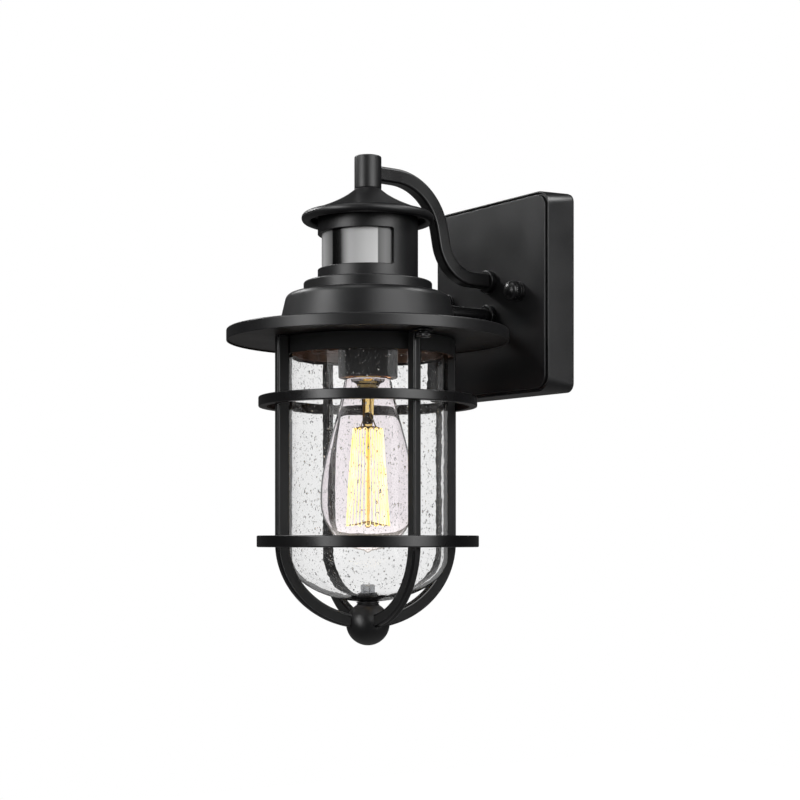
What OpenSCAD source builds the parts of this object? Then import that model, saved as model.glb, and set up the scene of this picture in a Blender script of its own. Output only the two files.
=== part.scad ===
// Outdoor wall lantern with a caged glass shade, a motion sensor under its roof cap and an S-shaped arm.
// Origin: centre of the canopy's back plane on the wall. +Y goes into the wall, +Z is up.

/* [Canopy] */
// Width of the canopy
canopy_w = 124.8; // [104:0.2:160]
// Height of the canopy
canopy_h = 137.6; // [120:0.2:180]
// Height of the canopy's centre above the origin
canopy_up = 1.2; // [0:0.1:2]
// Distance from the wall to the canopy's front face
canopy_d = 24.5; // [21:0.1:34]
// Corner radius of the canopy at its front
canopy_r = 11; // [6:0.5:18]
// Corner radius of the canopy at the wall
canopy_wall_r = 6.5; // [3:0.5:9]
// Sheet thickness of the canopy
canopy_t = 1.5; // [1:0.1:2.5]
// Width of the raised front panel's step on every side
step_w = 1.6; // [0.6:0.1:4]
// Height of the raised front panel's step
step_h = 1.2; // [0.5:0.1:1.4]
// Thickness of the foam gasket on the wall
gasket_t = 1.5; // [1:0.1:3]
// Width of the foam gasket
gasket_w = 5; // [3:0.5:8]

/* [Wall straps] */
// Height of the straps' centre above the canopy's centre
strap_z = 3.5; // [-2:0.5:5]
// Width of both straps
strap_w = 14; // [11:0.5:16]
// Thickness of both straps
strap_t = 2; // [1.6:0.1:2.6]
// Length of the strap that carries the canopy
cross_l = 108; // [106:1:116]
// Length of the box strap beyond each outlet box screw
box_end = 7.55; // [7.15:0.05:9]
// Distance between the outlet box screws
box_pitch = 88.9; // [80:0.1:90]
// Radius of the outlet box screw slots
box_slot_r = 2.4; // [2:0.1:3]
// Length of the outlet box screw slots
box_slot_l = 9; // [6:0.5:10]
// Distance of the right canopy stud from the middle
stud_right = 33; // [28:1:47]
// Distance of the left canopy stud from the middle
stud_left = 47; // [28:1:48]
// Radius of the canopy studs
stud_r = 2.08; // [1.8:0.02:2.3]
// Length of a cap nut
cap_nut_l = 10; // [9.5:0.5:16]
// Radius of a cap nut
cap_nut_r = 6.5; // [5:0.1:8]
// Depth of a cap nut's thread
cap_nut_bore = 8; // [7.5:0.5:8.5]

/* [Arm and conduit] */
// Distance from the wall to the lantern's axis
axis_out = 129.5; // [124:0.5:160]
// Height of the arm's root above the canopy's centre
arm_root_z = 13.9; // [12:0.1:30]
// Side of the square arm
arm_w = 10; // [7:0.1:11]
// Straight length of the arm next to the finial post
arm_lead = 12.2; // [8:0.1:14]
// Radius of the arm's upper bend
arm_r1 = 39.5; // [34:0.5:42]
// Radius of the arm's lower bend
arm_r2 = 27.5; // [22:0.5:30]
// Angle of both bends
arm_turn = 79; // [70:1:84]
// Straight length between the bends
arm_mid = 10; // [5:0.5:14]
// Radius of the arm's round flange
flange_r = 8; // [7.5:0.1:9]
// Thickness of both round flanges
flange_t = 4; // [2:0.1:5]
// Radius of the screw in the arm's root
arm_screw_r = 2.5; // [2:0.1:3]
// Height of the conduit below the canopy's centre
conduit_z = 10.5; // [8:0.05:12]
// Outer radius of the conduit
conduit_r = 5; // [4:0.1:6]
// Wall of the conduit
conduit_t = 1; // [0.8:0.1:1.4]

/* [Post and roof cap] */
// Radius of the finial post
post_r = 9.13; // [7.5:0.01:10]
// Height of the finial post
post_h = 22.1; // [18:0.1:26]
// Radius of the tie rod through the lantern
rod_r = 4; // [3:0.1:4.5]
// Height of the roof cap
cap_h = 22.95; // [20:0.05:28]
// Outer radius of the roof cap
cap_r = 44.7; // [43:0.1:50]
// Radius of the rolled bead round the roof cap
bead_r = 3.15; // [2.2:0.05:3.4]
// Sheet thickness of the spun parts
sheet_t = 1.2; // [0.8:0.1:1.5]

/* [Sensor] */
// Outer radius of the sensor housing
housing_r = 33.8; // [33:0.1:36]
// Wall of the sensor housing
housing_t = 2.6; // [2:0.1:3.2]
// Height of the sensor housing
housing_h = 42.35; // [40:0.05:50]
// Reach of the sensor housing into the roof cap
housing_lap = 2.8; // [1.5:0.1:3.4]
// Height of the sensor window
window_h = 23.7; // [18:0.1:25]
// Height of the window's sill above the housing's base
window_sill = 8; // [6:0.1:10]
// Angle that the window spans
window_a = 178; // [150:1:186]
// Thickness of the sensor lens
lens_t = 1.4; // [1:0.1:2]
// Width of the sensor board
board_w = 40; // [34:1:44]
// Height of the sensor board
board_h = 26; // [24:1:28]

/* [Crown] */
// Outer radius of the plinth
plinth_r = 43.3; // [40:0.1:50]
// Height of the plinth
plinth_h = 8; // [6:0.1:12]
// Radius of the dome at its shoulder
dome_r_top = 54.7; // [53:0.1:57]
// Radius of the dome at its foot
dome_r = 59.3; // [59:0.1:62]
// Height of the dome
dome_h = 19.65; // [18:0.05:26]
// Radius of the dome's rounded shoulder
dome_fillet = 5; // [2:0.5:6]
// Thickness of the plinth and the dome
crown_t = 1.5; // [1:0.1:2]
// Outer radius of the brim
brim_r = 95; // [92:0.5:110]
// Fall of the brim from the dome to its edge
brim_fall = 4.5; // [3:0.05:6]
// Height of the brim's vertical edge
brim_edge = 7.7; // [7.2:0.1:10]
// Depth of the underplate inside the brim's edge
plate_in = 1; // [0.5:0.1:1.5]
// Thickness of the underplate
plate_t = 1.5; // [1:0.1:2]

/* [Lamp] */
// Outer radius of the socket cover
cover_r = 20; // [19.6:0.1:22]
// Height of the socket cover
cover_h = 35.85; // [35:0.05:40]
// Thickness of the socket cover
cover_t = 1.4; // [1:0.1:1.8]
// Radius of the lamp's cap
lamp_cap_r = 13.1; // [12.8:0.05:13.3]
// Pitch of the lamp's thread
lamp_pitch = 3.629; // [3.5:0.001:3.8]
// Largest radius of the lamp's glass
lamp_r = 32; // [28:0.5:36]
// Length of the lamp's glass
lamp_l = 117.4; // [100:0.1:119]
// Height from the lamp's tip to its largest radius
lamp_belly = 36; // [30:1:40]
// Radius of the lamp's neck
lamp_neck_r = 16.6; // [15:0.1:18]
// Radius of the filament cage at its top
filament_r_top = 10; // [7:0.5:11]
// Radius of the filament cage at its foot
filament_r_foot = 14.5; // [10:0.5:16]
// Height of the filament cage
filament_h = 64; // [50:1:66]

/* [Cage] */
// Radius to the inside of the cage bars
bar_in_r = 59; // [58.5:0.1:60.5]
// Radial depth of a cage bar
bar_d = 9; // [7:0.1:10]
// Width of a cage bar
bar_w = 5.5; // [4:0.1:7]
// Turn of the cage about its axis
cage_turn = -7; // [-12:1:0]
// Height from the cage's top to the upper ring's centre
upper_ring_z = 41.25; // [30:0.25:60]
// Height between the two rings' centres
ring_gap = 93.55; // [80:0.05:100]
// Height of the upper ring
upper_ring_h = 6.8; // [5:0.1:8]
// Radial thickness of the upper ring
upper_ring_t = 5.6; // [4:0.1:8]
// Height of the lower ring
lower_ring_h = 7.8; // [5:0.1:9]
// Radial thickness of the lower ring
lower_ring_t = 6.7; // [4:0.1:8]
// Depth of the cage's bowl below the lower ring
bowl_h = 57.75; // [54:0.05:62]
// Thickness of the fitter collar's wall
collar_t = 1.8; // [1.2:0.1:2.2]
// Height of the fitter collar
collar_h = 11.2; // [9:0.1:14]
// Radius of the ball finial
ball_r = 14.7; // [13:0.1:16]
// Radius of the finial's stud
finial_stud_r = 3; // [2.5:0.1:3.5]
// Radius to the thumb screws
thumb_out = 75; // [74:0.1:79]
// Radius of a thumb screw's shank
thumb_r = 2; // [1.6:0.1:2.4]
// Radius of a thumb screw's head
thumb_head_r = 5; // [4:0.1:6]
// Height of a thumb screw's head
thumb_head_h = 2.6; // [2:0.1:5]

/* [Glass] */
// Outer radius of the glass shade
glass_r = 54; // [52:0.1:55]
// Thickness of the glass shade
glass_t = 3; // [2.4:0.1:4]
// Height of the glass shade's cylinder
glass_h = 141.2; // [130:0.05:145]
// Depth of the glass shade's rounded foot
glass_foot = 31; // [28:0.5:34]

/* [Hidden] */
$fn = 96;
bend_steps = 12;     // straight pieces in a quarter bend
pass = 0.1;          // radial clearance of a fixed shaft in a hole
run = 0.08;          // radial clearance of a moving shaft in a hole
gap = 0.3;           // clearance between faces that move apart
weld = 0.02;         // overlap of welded faces
wire_r = 0.9;        // radius of an internal lead
screw_head_t = 2.5;  // thickness of a screw's head
nut_t = 3;           // thickness of a lock nut
nut_gap = 0.2;       // clearance between a turning head and its washer
washer_t = 1;        // thickness of a loose washer

// Heights, from the arm down to the ball
arm_drop = (arm_r1 + arm_r2) * (1 - cos(arm_turn)) + arm_mid * sin(arm_turn);
arm_top_z = arm_root_z + arm_drop;
post_z = arm_top_z - post_h / 2;
cap_z = post_z - cap_h;
lid_z = cap_z + housing_lap;
lid_t = 2;
housing_z = lid_z - housing_h;
seal_t = 0.5;
plinth_z = housing_z - seal_t - plinth_h;
dome_z = plinth_z - dome_h;
brim_z = dome_z - brim_fall - brim_edge;
plate_z = brim_z + plate_in;
cage_top = plate_z - gap;
upper_z = cage_top - upper_ring_z;
lower_z = upper_z - ring_gap;
bowl_z = lower_z - 1;
glass_top = cage_top - 3.35;
foot_z = glass_top - glass_h;
glass_low = foot_z - glass_foot;
gasket_lip = 6;      // reach of the glass gasket below the shade's rim
neck_t = 2.1;
neck_r = 7.7;
ball_z = glass_low - neck_t - sqrt(ball_r * ball_r - neck_r * neck_r);

// Canopy
canopy_front = -canopy_d;
canopy_in = canopy_front + canopy_t + step_h;
strap_y = -strap_t;
cross_y = strap_y - gap - strap_t;
nut_mouth = canopy_front - gap - washer_t - nut_gap;
stud_room = 0.9;     // clearance between a stud's end and its cap nut's floor
stud_end = nut_mouth - cap_nut_bore + stud_room;
swivel_r = 2.5;
swivel_tail_r = 4;
swivel_tail_t = 0.8;
swivel_set = 0.1;    // depth of the rivet's tail below the strap's back
strap_corner = 2;
stud_pass = 0.5;     // radial clearance of the studs in the canopy's front
nut_skirt = 0.1;     // width of a washer beyond its cap nut
nut_barrel = 0.5;    // straight share of a cap nut
ground_x = -18;
ground_r = 2;
block_l = 36;
block_d = 11;
block_h = 15;
block_x = 12;
block_z = -46;
block_lead_y = canopy_in + 5;

// Arm, seen from the side: distance behind the lantern's axis, and height
bend1_s = post_r + arm_lead;
bend1_end = [bend1_s + arm_r1 * sin(arm_turn), arm_top_z - arm_r1 * (1 - cos(arm_turn))];
bend2_start = bend1_end + arm_mid * [cos(arm_turn), -sin(arm_turn)];
bend2_c = bend2_start + arm_r2 * [sin(arm_turn), cos(arm_turn)];
arm_root_s = axis_out - canopy_d;
arm_screw_l = 12;
conduit_back = canopy_in + nut_t + 1.5;
conduit_end_s = dome_r_top - 2;
rod_in_post = 5.4;

// Spun parts
lens_r = housing_r - housing_t - pass;
plinth_in = plinth_r - crown_t;
brim_flat_r = dome_r + 0.5;
brim_hole_r = dome_r - 5.5;
upstand_r = brim_hole_r + 1.5;
bracket_top = dome_z + 0.7;
bracket_t = 1.5;
bracket_x = cover_r + 4.5;
lip_w = 1.4;
lip_t = 1.2;
cover_top = bracket_top - bracket_t;
cover_low = cover_top - cover_h;
rod_nut_z = cover_top - cover_t - nut_t;
core_top = rod_nut_z;
core_t = 5;
core_r = cover_r - cover_t - 0.2;
core_low = cover_low + lip_t;
cavity_top = core_top - core_t;
shell_r = lamp_cap_r + 1.2;
shell_t = 0.4;
lead_y = 12;
contact_t = 0.7;

// Lamp
lamp_top = cavity_top - contact_t - gap;
lamp_contact_t = 1;
lamp_insulator_h = 2.2;
lamp_cap_top = lamp_top - lamp_contact_t - lamp_insulator_h;
lamp_cap_low = core_low - 1.2;
lamp_tip = lamp_cap_low - lamp_l;
lamp_belly_z = lamp_tip + lamp_belly;
lamp_t = 1;
filament_low = lamp_tip + 19;
filament_top = filament_low + filament_h;
stem_r = 3;

// Cage
bar_out_r = bar_in_r + bar_d;
ring_in_r = norm([bar_out_r, bar_w / 2]) - weld;
collar_r = bar_in_r + weld;
bar_end_r = ball_r * 0.56;
ear_t = 1.4;
ear_w = 12;
ear_z = cage_top - ear_t;
weld_nut_r = 4.5;
weld_nut_h = 5;
thumb_washer_t = 0.6;
thumb_washer_z = ear_z - gap - thumb_washer_t;
thumb_head_z = thumb_washer_z - nut_gap - thumb_head_h;
thumb_top = plate_z + plate_t + weld_nut_h - 0.4;
inner_washer_z = glass_low + glass_t + 0.25;
inner_washer_t = 0.8;
finial_nut_r = 4.9;
finial_nut_h = 6.4;
finial_nut_edge = 1.3;
finial_nut_z = inner_washer_z + inner_washer_t;

// Bars and thumb screws: angle from the cage's turn
RIGHT = 0;
BACK = 90;
LEFT = 180;
FRONT = 270;

// Sensor
board_t = 1.6;
board_y = -15.6;
board_z = housing_z + housing_t + 2;
relay_x = 6.4;
relay_w = 13;
relay_d = 9;
relay_h = 15;
relay_up = 8;        // height of the relay above the board's foot
can_x = 12;          // distance of the capacitor and the light cell from the middle
can_r = 4.4;
can_h = 14;
cell_r = 2.5;
cell_t = 1.6;
wire_hole_y = 16;
wire_hole_x = 9;
wire_hole_r = 3;

// ---- Helpers ----

// Moves its children to the lantern's axis
module at_axis() translate([0, -axis_out, 0]) children();

// Moves its children out to a radius and an angle round the lantern's axis
module at_angle(a, r) at_axis() rotate([0, 0, a]) translate([r, 0, 0]) children();

// Ring standing on z = 0
module tube(r_out, r_in, h) difference() {
    cylinder(r = r_out, h = h);
    translate([0, 0, -1]) cylinder(r = r_in, h = h + 2);
}

// Cylinder along -Y that starts at y
module bar_y(r, y, l) translate([0, y, 0]) rotate([90, 0, 0]) cylinder(r = r, h = l);

// Upright plate with rounded corners: back face at y, thickness t towards -Y
module slab(w, h, r, y, t) translate([0, y, 0]) rotate([90, 0, 0]) union() {
    translate([-w / 2 + r, -h / 2, 0]) cube([w - 2 * r, h, t]);
    translate([-w / 2, -h / 2 + r, 0]) cube([w, h - 2 * r, t]);
    for (sx = [-1, 1], sz = [-1, 1])
        translate([sx * (w / 2 - r), sz * (h / 2 - r), 0]) cylinder(r = r, h = t);
}

// Slot with rounded ends through an upright strap, l long and 2 * r wide
module slot_y(r, l, y, t) translate([0, y, 0]) rotate([90, 0, 0]) union() {
    for (s = [-1, 1]) translate([s * (l / 2 - r), 0, 0]) cylinder(r = r, h = t);
    translate([-l / 2 + r, -r, 0]) cube([l - 2 * r, 2 * r, t]);
}

// Wire through a list of points, as eight-sided rods that run a little past each bend
module wire(pts, r) union() for (i = [0 : len(pts) - 2]) {
    d = pts[i + 1] - pts[i];
    translate(pts[i]) rotate([0, acos(d.z / norm(d)), atan2(d.y, d.x)])
        translate([0, 0, -r / 2]) cylinder(r = r, h = norm(d) + r, $fn = 8);
}

// Points of an ellipse's arc
function arc(c, a, b, from, to, n) = [for (i = [0 : n])
    let (t = from + (to - from) * i / n) [c.x + a * cos(t), c.y + b * sin(t)]];

// Points of a quadratic curve
function curve(p, q, r, n) = [for (i = [0 : n])
    let (t = i / n) (1 - t) * (1 - t) * p + 2 * t * (1 - t) * q + t * t * r];

// Points of a cubic curve
function curve3(p, q, r, s, n) = [for (i = [0 : n])
    let (t = i / n, u = 1 - t) u * u * u * p + 3 * u * u * t * q + 3 * u * t * t * r + t * t * t * s];

// ---- Canopy and straps ----

// Distance of a stud from the middle, 1 for the right stud and -1 for the left one
function stud_x(side) = side > 0 ? stud_right : -stud_left;

// The canopy's box brought in by t, its corners sharper at the wall than at the front
module canopy_box(t, back, front) translate([0, 0, canopy_up]) hull() {
    slab(canopy_w - 2 * t, canopy_h - 2 * t, canopy_wall_r - t, back, weld, $fn = 32);
    slab(canopy_w - 2 * t, canopy_h - 2 * t, canopy_r - t, front + weld, weld, $fn = 32);
}

module canopy() color("#1b1b1c") difference() {
    union() {
        canopy_box(0, -gasket_t, canopy_front + step_h);
        translate([0, 0, canopy_up]) slab(canopy_w - 2 * step_w, canopy_h - 2 * step_w, canopy_r - step_w,
                                          canopy_front + step_h + canopy_t / 2, step_h + canopy_t / 2);
    }
    canopy_box(canopy_t, 0, canopy_in);
    for (s = [-1, 1]) translate([stud_x(s), 0, strap_z]) bar_y(stud_r + stud_pass, 0, canopy_d + 1);
    translate([0, 0, -conduit_z]) bar_y(conduit_r + pass, 0, canopy_d + 1);
    translate([0, 0, arm_root_z]) bar_y(arm_screw_r + pass, 0, canopy_d + 1);
}

module canopy_gasket() color("#2a2a2a") difference() {
    translate([0, 0, canopy_up]) slab(canopy_w - 0.4, canopy_h - 0.4, canopy_wall_r, 0, gasket_t);
    slab(canopy_w - 2 * gasket_w, canopy_h - 2 * gasket_w + 2 * canopy_up, canopy_wall_r, 1, gasket_t + 2);
}

module canopy_strap() color("#b9b6ac") translate([0, 0, strap_z]) difference() {
    slab(cross_l, strap_w, strap_corner, strap_y - gap, strap_t);
    bar_y(swivel_r + pass, 0, canopy_d);
    for (s = [-1, 1]) translate([stud_x(s), 0, 0]) bar_y(stud_r, 0, canopy_d);
    translate([ground_x, 0, 0]) bar_y(ground_r, 0, canopy_d);
}

module canopy_studs() color("#c8c8c8") for (s = [-1, 1])
    translate([stud_x(s), 0, strap_z]) bar_y(stud_r, strap_y - gap, -stud_end + strap_y - gap);

module swivel_rivet() color("#c8c8c8") translate([0, 0, strap_z]) union() {
    bar_y(swivel_r, -swivel_tail_t + swivel_set, -cross_y - swivel_tail_t + swivel_set);
    bar_y(swivel_r + 2, cross_y, screw_head_t);
    bar_y(swivel_tail_r, -swivel_set, swivel_tail_t);
}

module ground_screw() color("#3f7a4a") translate([ground_x, 0, strap_z]) union() {
    bar_y(ground_r, strap_y - gap, strap_t);
    bar_y(2 * ground_r, cross_y, screw_head_t);
}

module box_strap() color("#b9b6ac") translate([0, 0, strap_z]) difference() {
    slab(strap_w, box_pitch + 2 * box_end, strap_corner, 0, strap_t);
    bar_y(swivel_r + run, 1, strap_t + 2);
    bar_y(swivel_tail_r + gap, 1, 1 + swivel_set + swivel_tail_t + gap);
    for (s = [-1, 1]) translate([0, 0, s * box_pitch / 2]) rotate([0, 90, 0])
        slot_y(box_slot_r, box_slot_l, 1, strap_t + 2);
}

module terminal_block() color("#d9d5c8") translate([block_x, canopy_in, block_z]) difference() {
    cube([block_l, block_d, block_h]);
    for (i = [0 : 2]) translate([block_l * (i + 0.5) / 3, block_d - 4, block_h / 2])
        rotate([-90, 0, 0]) cylinder(r = 2, h = 5);
}

module nut_washer(side) color("#111112") translate([stud_x(side), 0, strap_z]) difference() {
    bar_y(cap_nut_r + nut_skirt, canopy_front - gap, washer_t);
    bar_y(stud_r + run, canopy_front, 3 * washer_t);
}

module cap_nut(side) color("#141415") translate([stud_x(side), nut_mouth, strap_z]) difference() {
    rotate([90, 0, 0]) rotate_extrude()
        polygon(concat([[0, 0], [cap_nut_r, 0]],
                       arc([0, cap_nut_l * nut_barrel], cap_nut_r, cap_nut_l * (1 - nut_barrel),
                           0, 90, 10)));
    bar_y(stud_r + run, 1, 1 + cap_nut_bore);
}

// ---- Arm and conduit ----

// Side of the arm from the post to the canopy, o above the centreline
function arm_line(o) = concat([[post_r / 2, arm_top_z + o]],
    arc([bend1_s, arm_top_z - arm_r1], arm_r1 + o, arm_r1 + o, 90, 90 - arm_turn, bend_steps),
    arc(bend2_c, arm_r2 - o, arm_r2 - o, 270 - arm_turn, 270, bend_steps),
    [[arm_root_s, arm_root_z + o]]);

module s_arm() color("#19191a") difference() {
    at_axis() rotate([90, 0, 90]) linear_extrude(arm_w, center = true) polygon(concat(
        arm_line(arm_w / 2), [for (i = [2 * bend_steps + 3 : -1 : 0]) arm_line(-arm_w / 2)[i]]));
    at_axis() translate([0, 0, post_z]) cylinder(r = post_r, h = post_h);
    translate([0, 0, arm_root_z]) bar_y(arm_screw_r, 0, canopy_d + arm_screw_l);
}

module arm_flange() color("#141415") translate([0, canopy_front, arm_root_z]) rotate([90, 0, 0])
    difference() {
    cylinder(r = flange_r, h = flange_t);
    translate([-arm_w / 2 - pass, -arm_w / 2 - pass, -1])
        cube([arm_w + 2 * pass, arm_w + 2 * pass, flange_t + 2]);
}

module arm_screw() color("#c8c8c8") translate([0, 0, arm_root_z]) union() {
    bar_y(2 * arm_screw_r, canopy_in + screw_head_t, screw_head_t);
    bar_y(arm_screw_r, canopy_in + weld, canopy_in - canopy_front + arm_screw_l - 1);
}

module conduit() color("#19191a") translate([0, conduit_back, -conduit_z]) rotate([90, 0, 0])
    tube(conduit_r, conduit_r - conduit_t, conduit_back + axis_out - conduit_end_s);

module conduit_flange() color("#141415") translate([0, canopy_front, -conduit_z]) rotate([90, 0, 0])
    tube(flange_r, conduit_r + pass, flange_t);

module conduit_nut() color("#c8c8c8") translate([0, canopy_in + nut_t, -conduit_z]) rotate([90, 0, 0])
    tube(flange_r, conduit_r + pass, nut_t);

// ---- Post, roof cap and tie rod ----

module finial_post() color("#161617") at_axis() translate([0, 0, post_z]) difference() {
    rotate_extrude() polygon(concat([[0, 0], [post_r, 0]],
        arc([post_r - 1, post_h - 1], 1, 1, 0, 90, 4), [[0, post_h]]));
    translate([0, 0, -1]) cylinder(r = rod_r + pass, h = rod_in_post + 1);
}

module tie_rod() color("#c8c8c8") at_axis() translate([0, 0, rod_nut_z])
    cylinder(r = rod_r, h = post_z - rod_nut_z + rod_in_post - 0.4);

module rod_nuts() color("#c8c8c8") at_axis() for (z = [post_z - sheet_t - nut_t, rod_nut_z])
    translate([0, 0, z]) tube(rod_r + 2.8, rod_r + pass, nut_t);

// Outside of the roof cap from its neck to its bead, lowered by t
function cap_line(t) = let (bead_top = cap_z + 2 * bead_r)
    curve([post_r, post_z - 0.3 - t], [post_r + 8.7, post_z - 8.5 - t], [cap_r - bead_r, bead_top - t], 12);

module roof_cap() color("#1b1b1c") at_axis() difference() {
    rotate_extrude() union() {
        polygon(concat([[0, post_z]], [[post_r, post_z]], cap_line(0),
            [for (i = [12 : -1 : 0]) cap_line(sheet_t * 1.1)[i]],
            [[post_r - sheet_t, post_z - sheet_t], [0, post_z - sheet_t]]));
        translate([cap_r - bead_r, cap_z + bead_r]) circle(r = bead_r, $fn = 32);
    }
    translate([0, 0, post_z - 5]) cylinder(r = rod_r + pass, h = 6);
}

module spacer_tube() color("#b9b6ac") at_axis() translate([0, 0, lid_z + lid_t])
    tube(rod_r + 2.4, rod_r + pass, post_z - sheet_t - nut_t - lid_z - lid_t);

// ---- Sensor ----

module housing_lid() color("#161617") at_axis() translate([0, 0, lid_z])
    tube(housing_r, rod_r + pass, lid_t);

module wire_holes(z, h) for (s = [-1, 1])
    translate([s * wire_hole_x, wire_hole_y, z]) cylinder(r = wire_hole_r, h = h);

module sensor_housing() color("#171718") at_axis() difference() {
    union() {
        translate([0, 0, housing_z]) difference() {
            cylinder(r = housing_r, h = housing_h);
            translate([0, 0, housing_t]) cylinder(r = housing_r - housing_t, h = housing_h);
        }
        for (s = [-1, 1]) translate([s * board_w * 0.38 - 2.5, board_y - 2, housing_z + housing_t - weld])
            cube([5, board_t + 4, 6]);
    }
    translate([0, 0, housing_z + window_sill]) rotate([0, 0, -90 - window_a / 2])
        rotate_extrude(angle = window_a) translate([housing_r - housing_t - 1, 0])
            square([housing_t + 2, window_h]);
    translate([-board_w / 2 - pass, board_y - pass, board_z])
        cube([board_w + 2 * pass, board_t + 2 * pass, board_h]);
    translate([0, 0, housing_z - 1]) cylinder(r = rod_r + pass, h = housing_t + 2);
    wire_holes(housing_z - 1, housing_t + 2);
}

module sensor_lens() color("#8a8a8a") at_axis() translate([0, 0, housing_z + window_sill - 1.5])
    rotate([0, 0, -93 - window_a / 2]) rotate_extrude(angle = window_a + 6)
        translate([lens_r - lens_t, 0]) square([lens_t, window_h + 3]);

module sensor_board() color("#2f6b3c") at_axis() translate([-board_w / 2, board_y, board_z])
    cube([board_w, board_t, board_h]);

module board_components() color("#3a3f46") at_axis() union() {
    translate([relay_x, board_y + board_t, board_z + relay_up]) cube([relay_w, relay_d, relay_h]);
    translate([-can_x, board_y + board_t + can_r, board_z + relay_up - 1]) cylinder(r = can_r, h = can_h);
    translate([can_x, board_y, board_z + board_h / 2]) rotate([90, 0, 0]) cylinder(r = cell_r, h = cell_t);
}

module motion_detector() color("#cfd2d4") at_axis()
    translate([0, board_y, housing_z + window_sill + window_h / 2]) rotate([90, 0, 0]) union() {
        cylinder(r = 4.6, h = 3.6);
        cylinder(r = 3.4, h = 4.2);
    }

module housing_seal() color("#0d0d0e") at_axis() translate([0, 0, housing_z - seal_t]) difference() {
    tube(housing_r - 1, rod_r + pass, seal_t);
    wire_holes(-1, 3);
}

// ---- Plinth, dome and brim ----

module plinth() color("#1b1b1c") at_axis() difference() {
    translate([0, 0, plinth_z]) rotate_extrude() polygon(concat(
        [[rod_r + pass, plinth_h]], arc([plinth_r - 1, plinth_h - 1], 1, 1, 90, 0, 4),
        [[plinth_r, 0], [plinth_in, 0], [plinth_in, plinth_h - crown_t],
         [rod_r + pass, plinth_h - crown_t]]));
    wire_holes(plinth_z - 1, plinth_h + 2);
}

// Outside of the dome from its top to its foot, brought in by t
function dome_line(t) = concat(
    arc([dome_r_top - dome_fillet, dome_h - dome_fillet], dome_fillet - t, dome_fillet - t, 90, 0, 8),
    [[dome_r - t, 0]]);

module dome() color("#1b1b1c") at_axis() difference() {
    translate([0, 0, dome_z]) rotate_extrude() polygon(concat(
        [[rod_r + pass, dome_h]], dome_line(0),
        [for (i = [9 : -1 : 0]) dome_line(crown_t)[i]], [[rod_r + pass, dome_h - crown_t]]));
    wire_holes(dome_z, dome_h + 1);
    translate([0, dome_r + 5, -conduit_z]) rotate([90, 0, 0])
        cylinder(r = conduit_r + pass, h = dome_r + 5 - conduit_end_s + 1);
}

module brim() color("#1b1b1c") at_axis() translate([0, 0, brim_z]) rotate_extrude() polygon([
    [brim_hole_r, brim_fall + brim_edge], [brim_flat_r, brim_fall + brim_edge],
    [brim_r - 1, brim_edge + 0.2],
    [brim_r, brim_edge - 0.8], [brim_r, 0], [brim_r - sheet_t, 0], [brim_r - sheet_t, brim_edge - sheet_t],
    [brim_flat_r, brim_fall + brim_edge - sheet_t], [brim_hole_r, brim_fall + brim_edge - sheet_t]]);

module underplate() color("#151516") difference() {
    at_axis() translate([0, 0, plate_z]) union() {
        tube(brim_r - sheet_t - pass, cover_r + 0.8, plate_t);
        tube(upstand_r, brim_hole_r, dome_z - sheet_t - plate_z);
    }
    for (a = [RIGHT, LEFT]) at_angle(cage_turn + a, thumb_out)
        translate([0, 0, plate_z - 1]) cylinder(r = thumb_r + gap + pass, h = plate_t + 2);
}

module weld_nuts() color("#c8c8c8") for (a = [RIGHT, LEFT]) at_angle(cage_turn + a, thumb_out)
    translate([0, 0, plate_z + plate_t]) tube(weld_nut_r, thumb_r + run, weld_nut_h);

// ---- Socket ----

module socket_bracket() color("#b9b6ac") at_axis() difference() {
    union() {
        translate([-bracket_x, -strap_w / 2, bracket_top - bracket_t])
            cube([2 * bracket_x, strap_w, bracket_t]);
        for (s = [0, 1]) mirror([s, 0, 0]) {
            translate([bracket_x - bracket_t, -strap_w / 2, plate_z + plate_t])
                cube([bracket_t, strap_w, bracket_top - plate_z - plate_t]);
            translate([bracket_x - bracket_t, -strap_w / 2, plate_z + plate_t])
                cube([strap_w, strap_w, bracket_t]);
        }
    }
    translate([0, 0, bracket_top - bracket_t - 1]) cylinder(r = rod_r + pass, h = bracket_t + 2);
}

module socket_cover() color("#121213") at_axis() difference() {
    translate([0, 0, cover_low]) rotate_extrude() polygon(concat(
        [[rod_r + pass, cover_h]], arc([cover_r - 2, cover_h - 2], 2, 2, 90, 0, 5),
        [[cover_r, 0], [core_r - lip_w, 0], [core_r - lip_w, lip_t], [core_r + 0.2, lip_t],
         [core_r + 0.2, cover_h - cover_t], [rod_r + pass, cover_h - cover_t]]));
    translate([0, lead_y, cover_top - cover_t - 1]) cylinder(r = wire_hole_r, h = cover_t + 2);
}

module socket_core() color("#e6e1d6") at_axis() difference() {
    translate([0, 0, core_low]) cylinder(r = core_r, h = core_top - core_low);
    translate([0, 0, core_low - 1]) cylinder(r = shell_r, h = cavity_top - core_low + 1);
}

module socket_shell() color("#c9a55c") at_axis() translate([0, 0, core_low + 0.5])
    tube(shell_r, shell_r - shell_t, cavity_top - core_low - 2);

module socket_contact() color("#c9a55c") at_axis() translate([0, 0, cavity_top - contact_t])
    cylinder(r = 4, h = contact_t);

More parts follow.
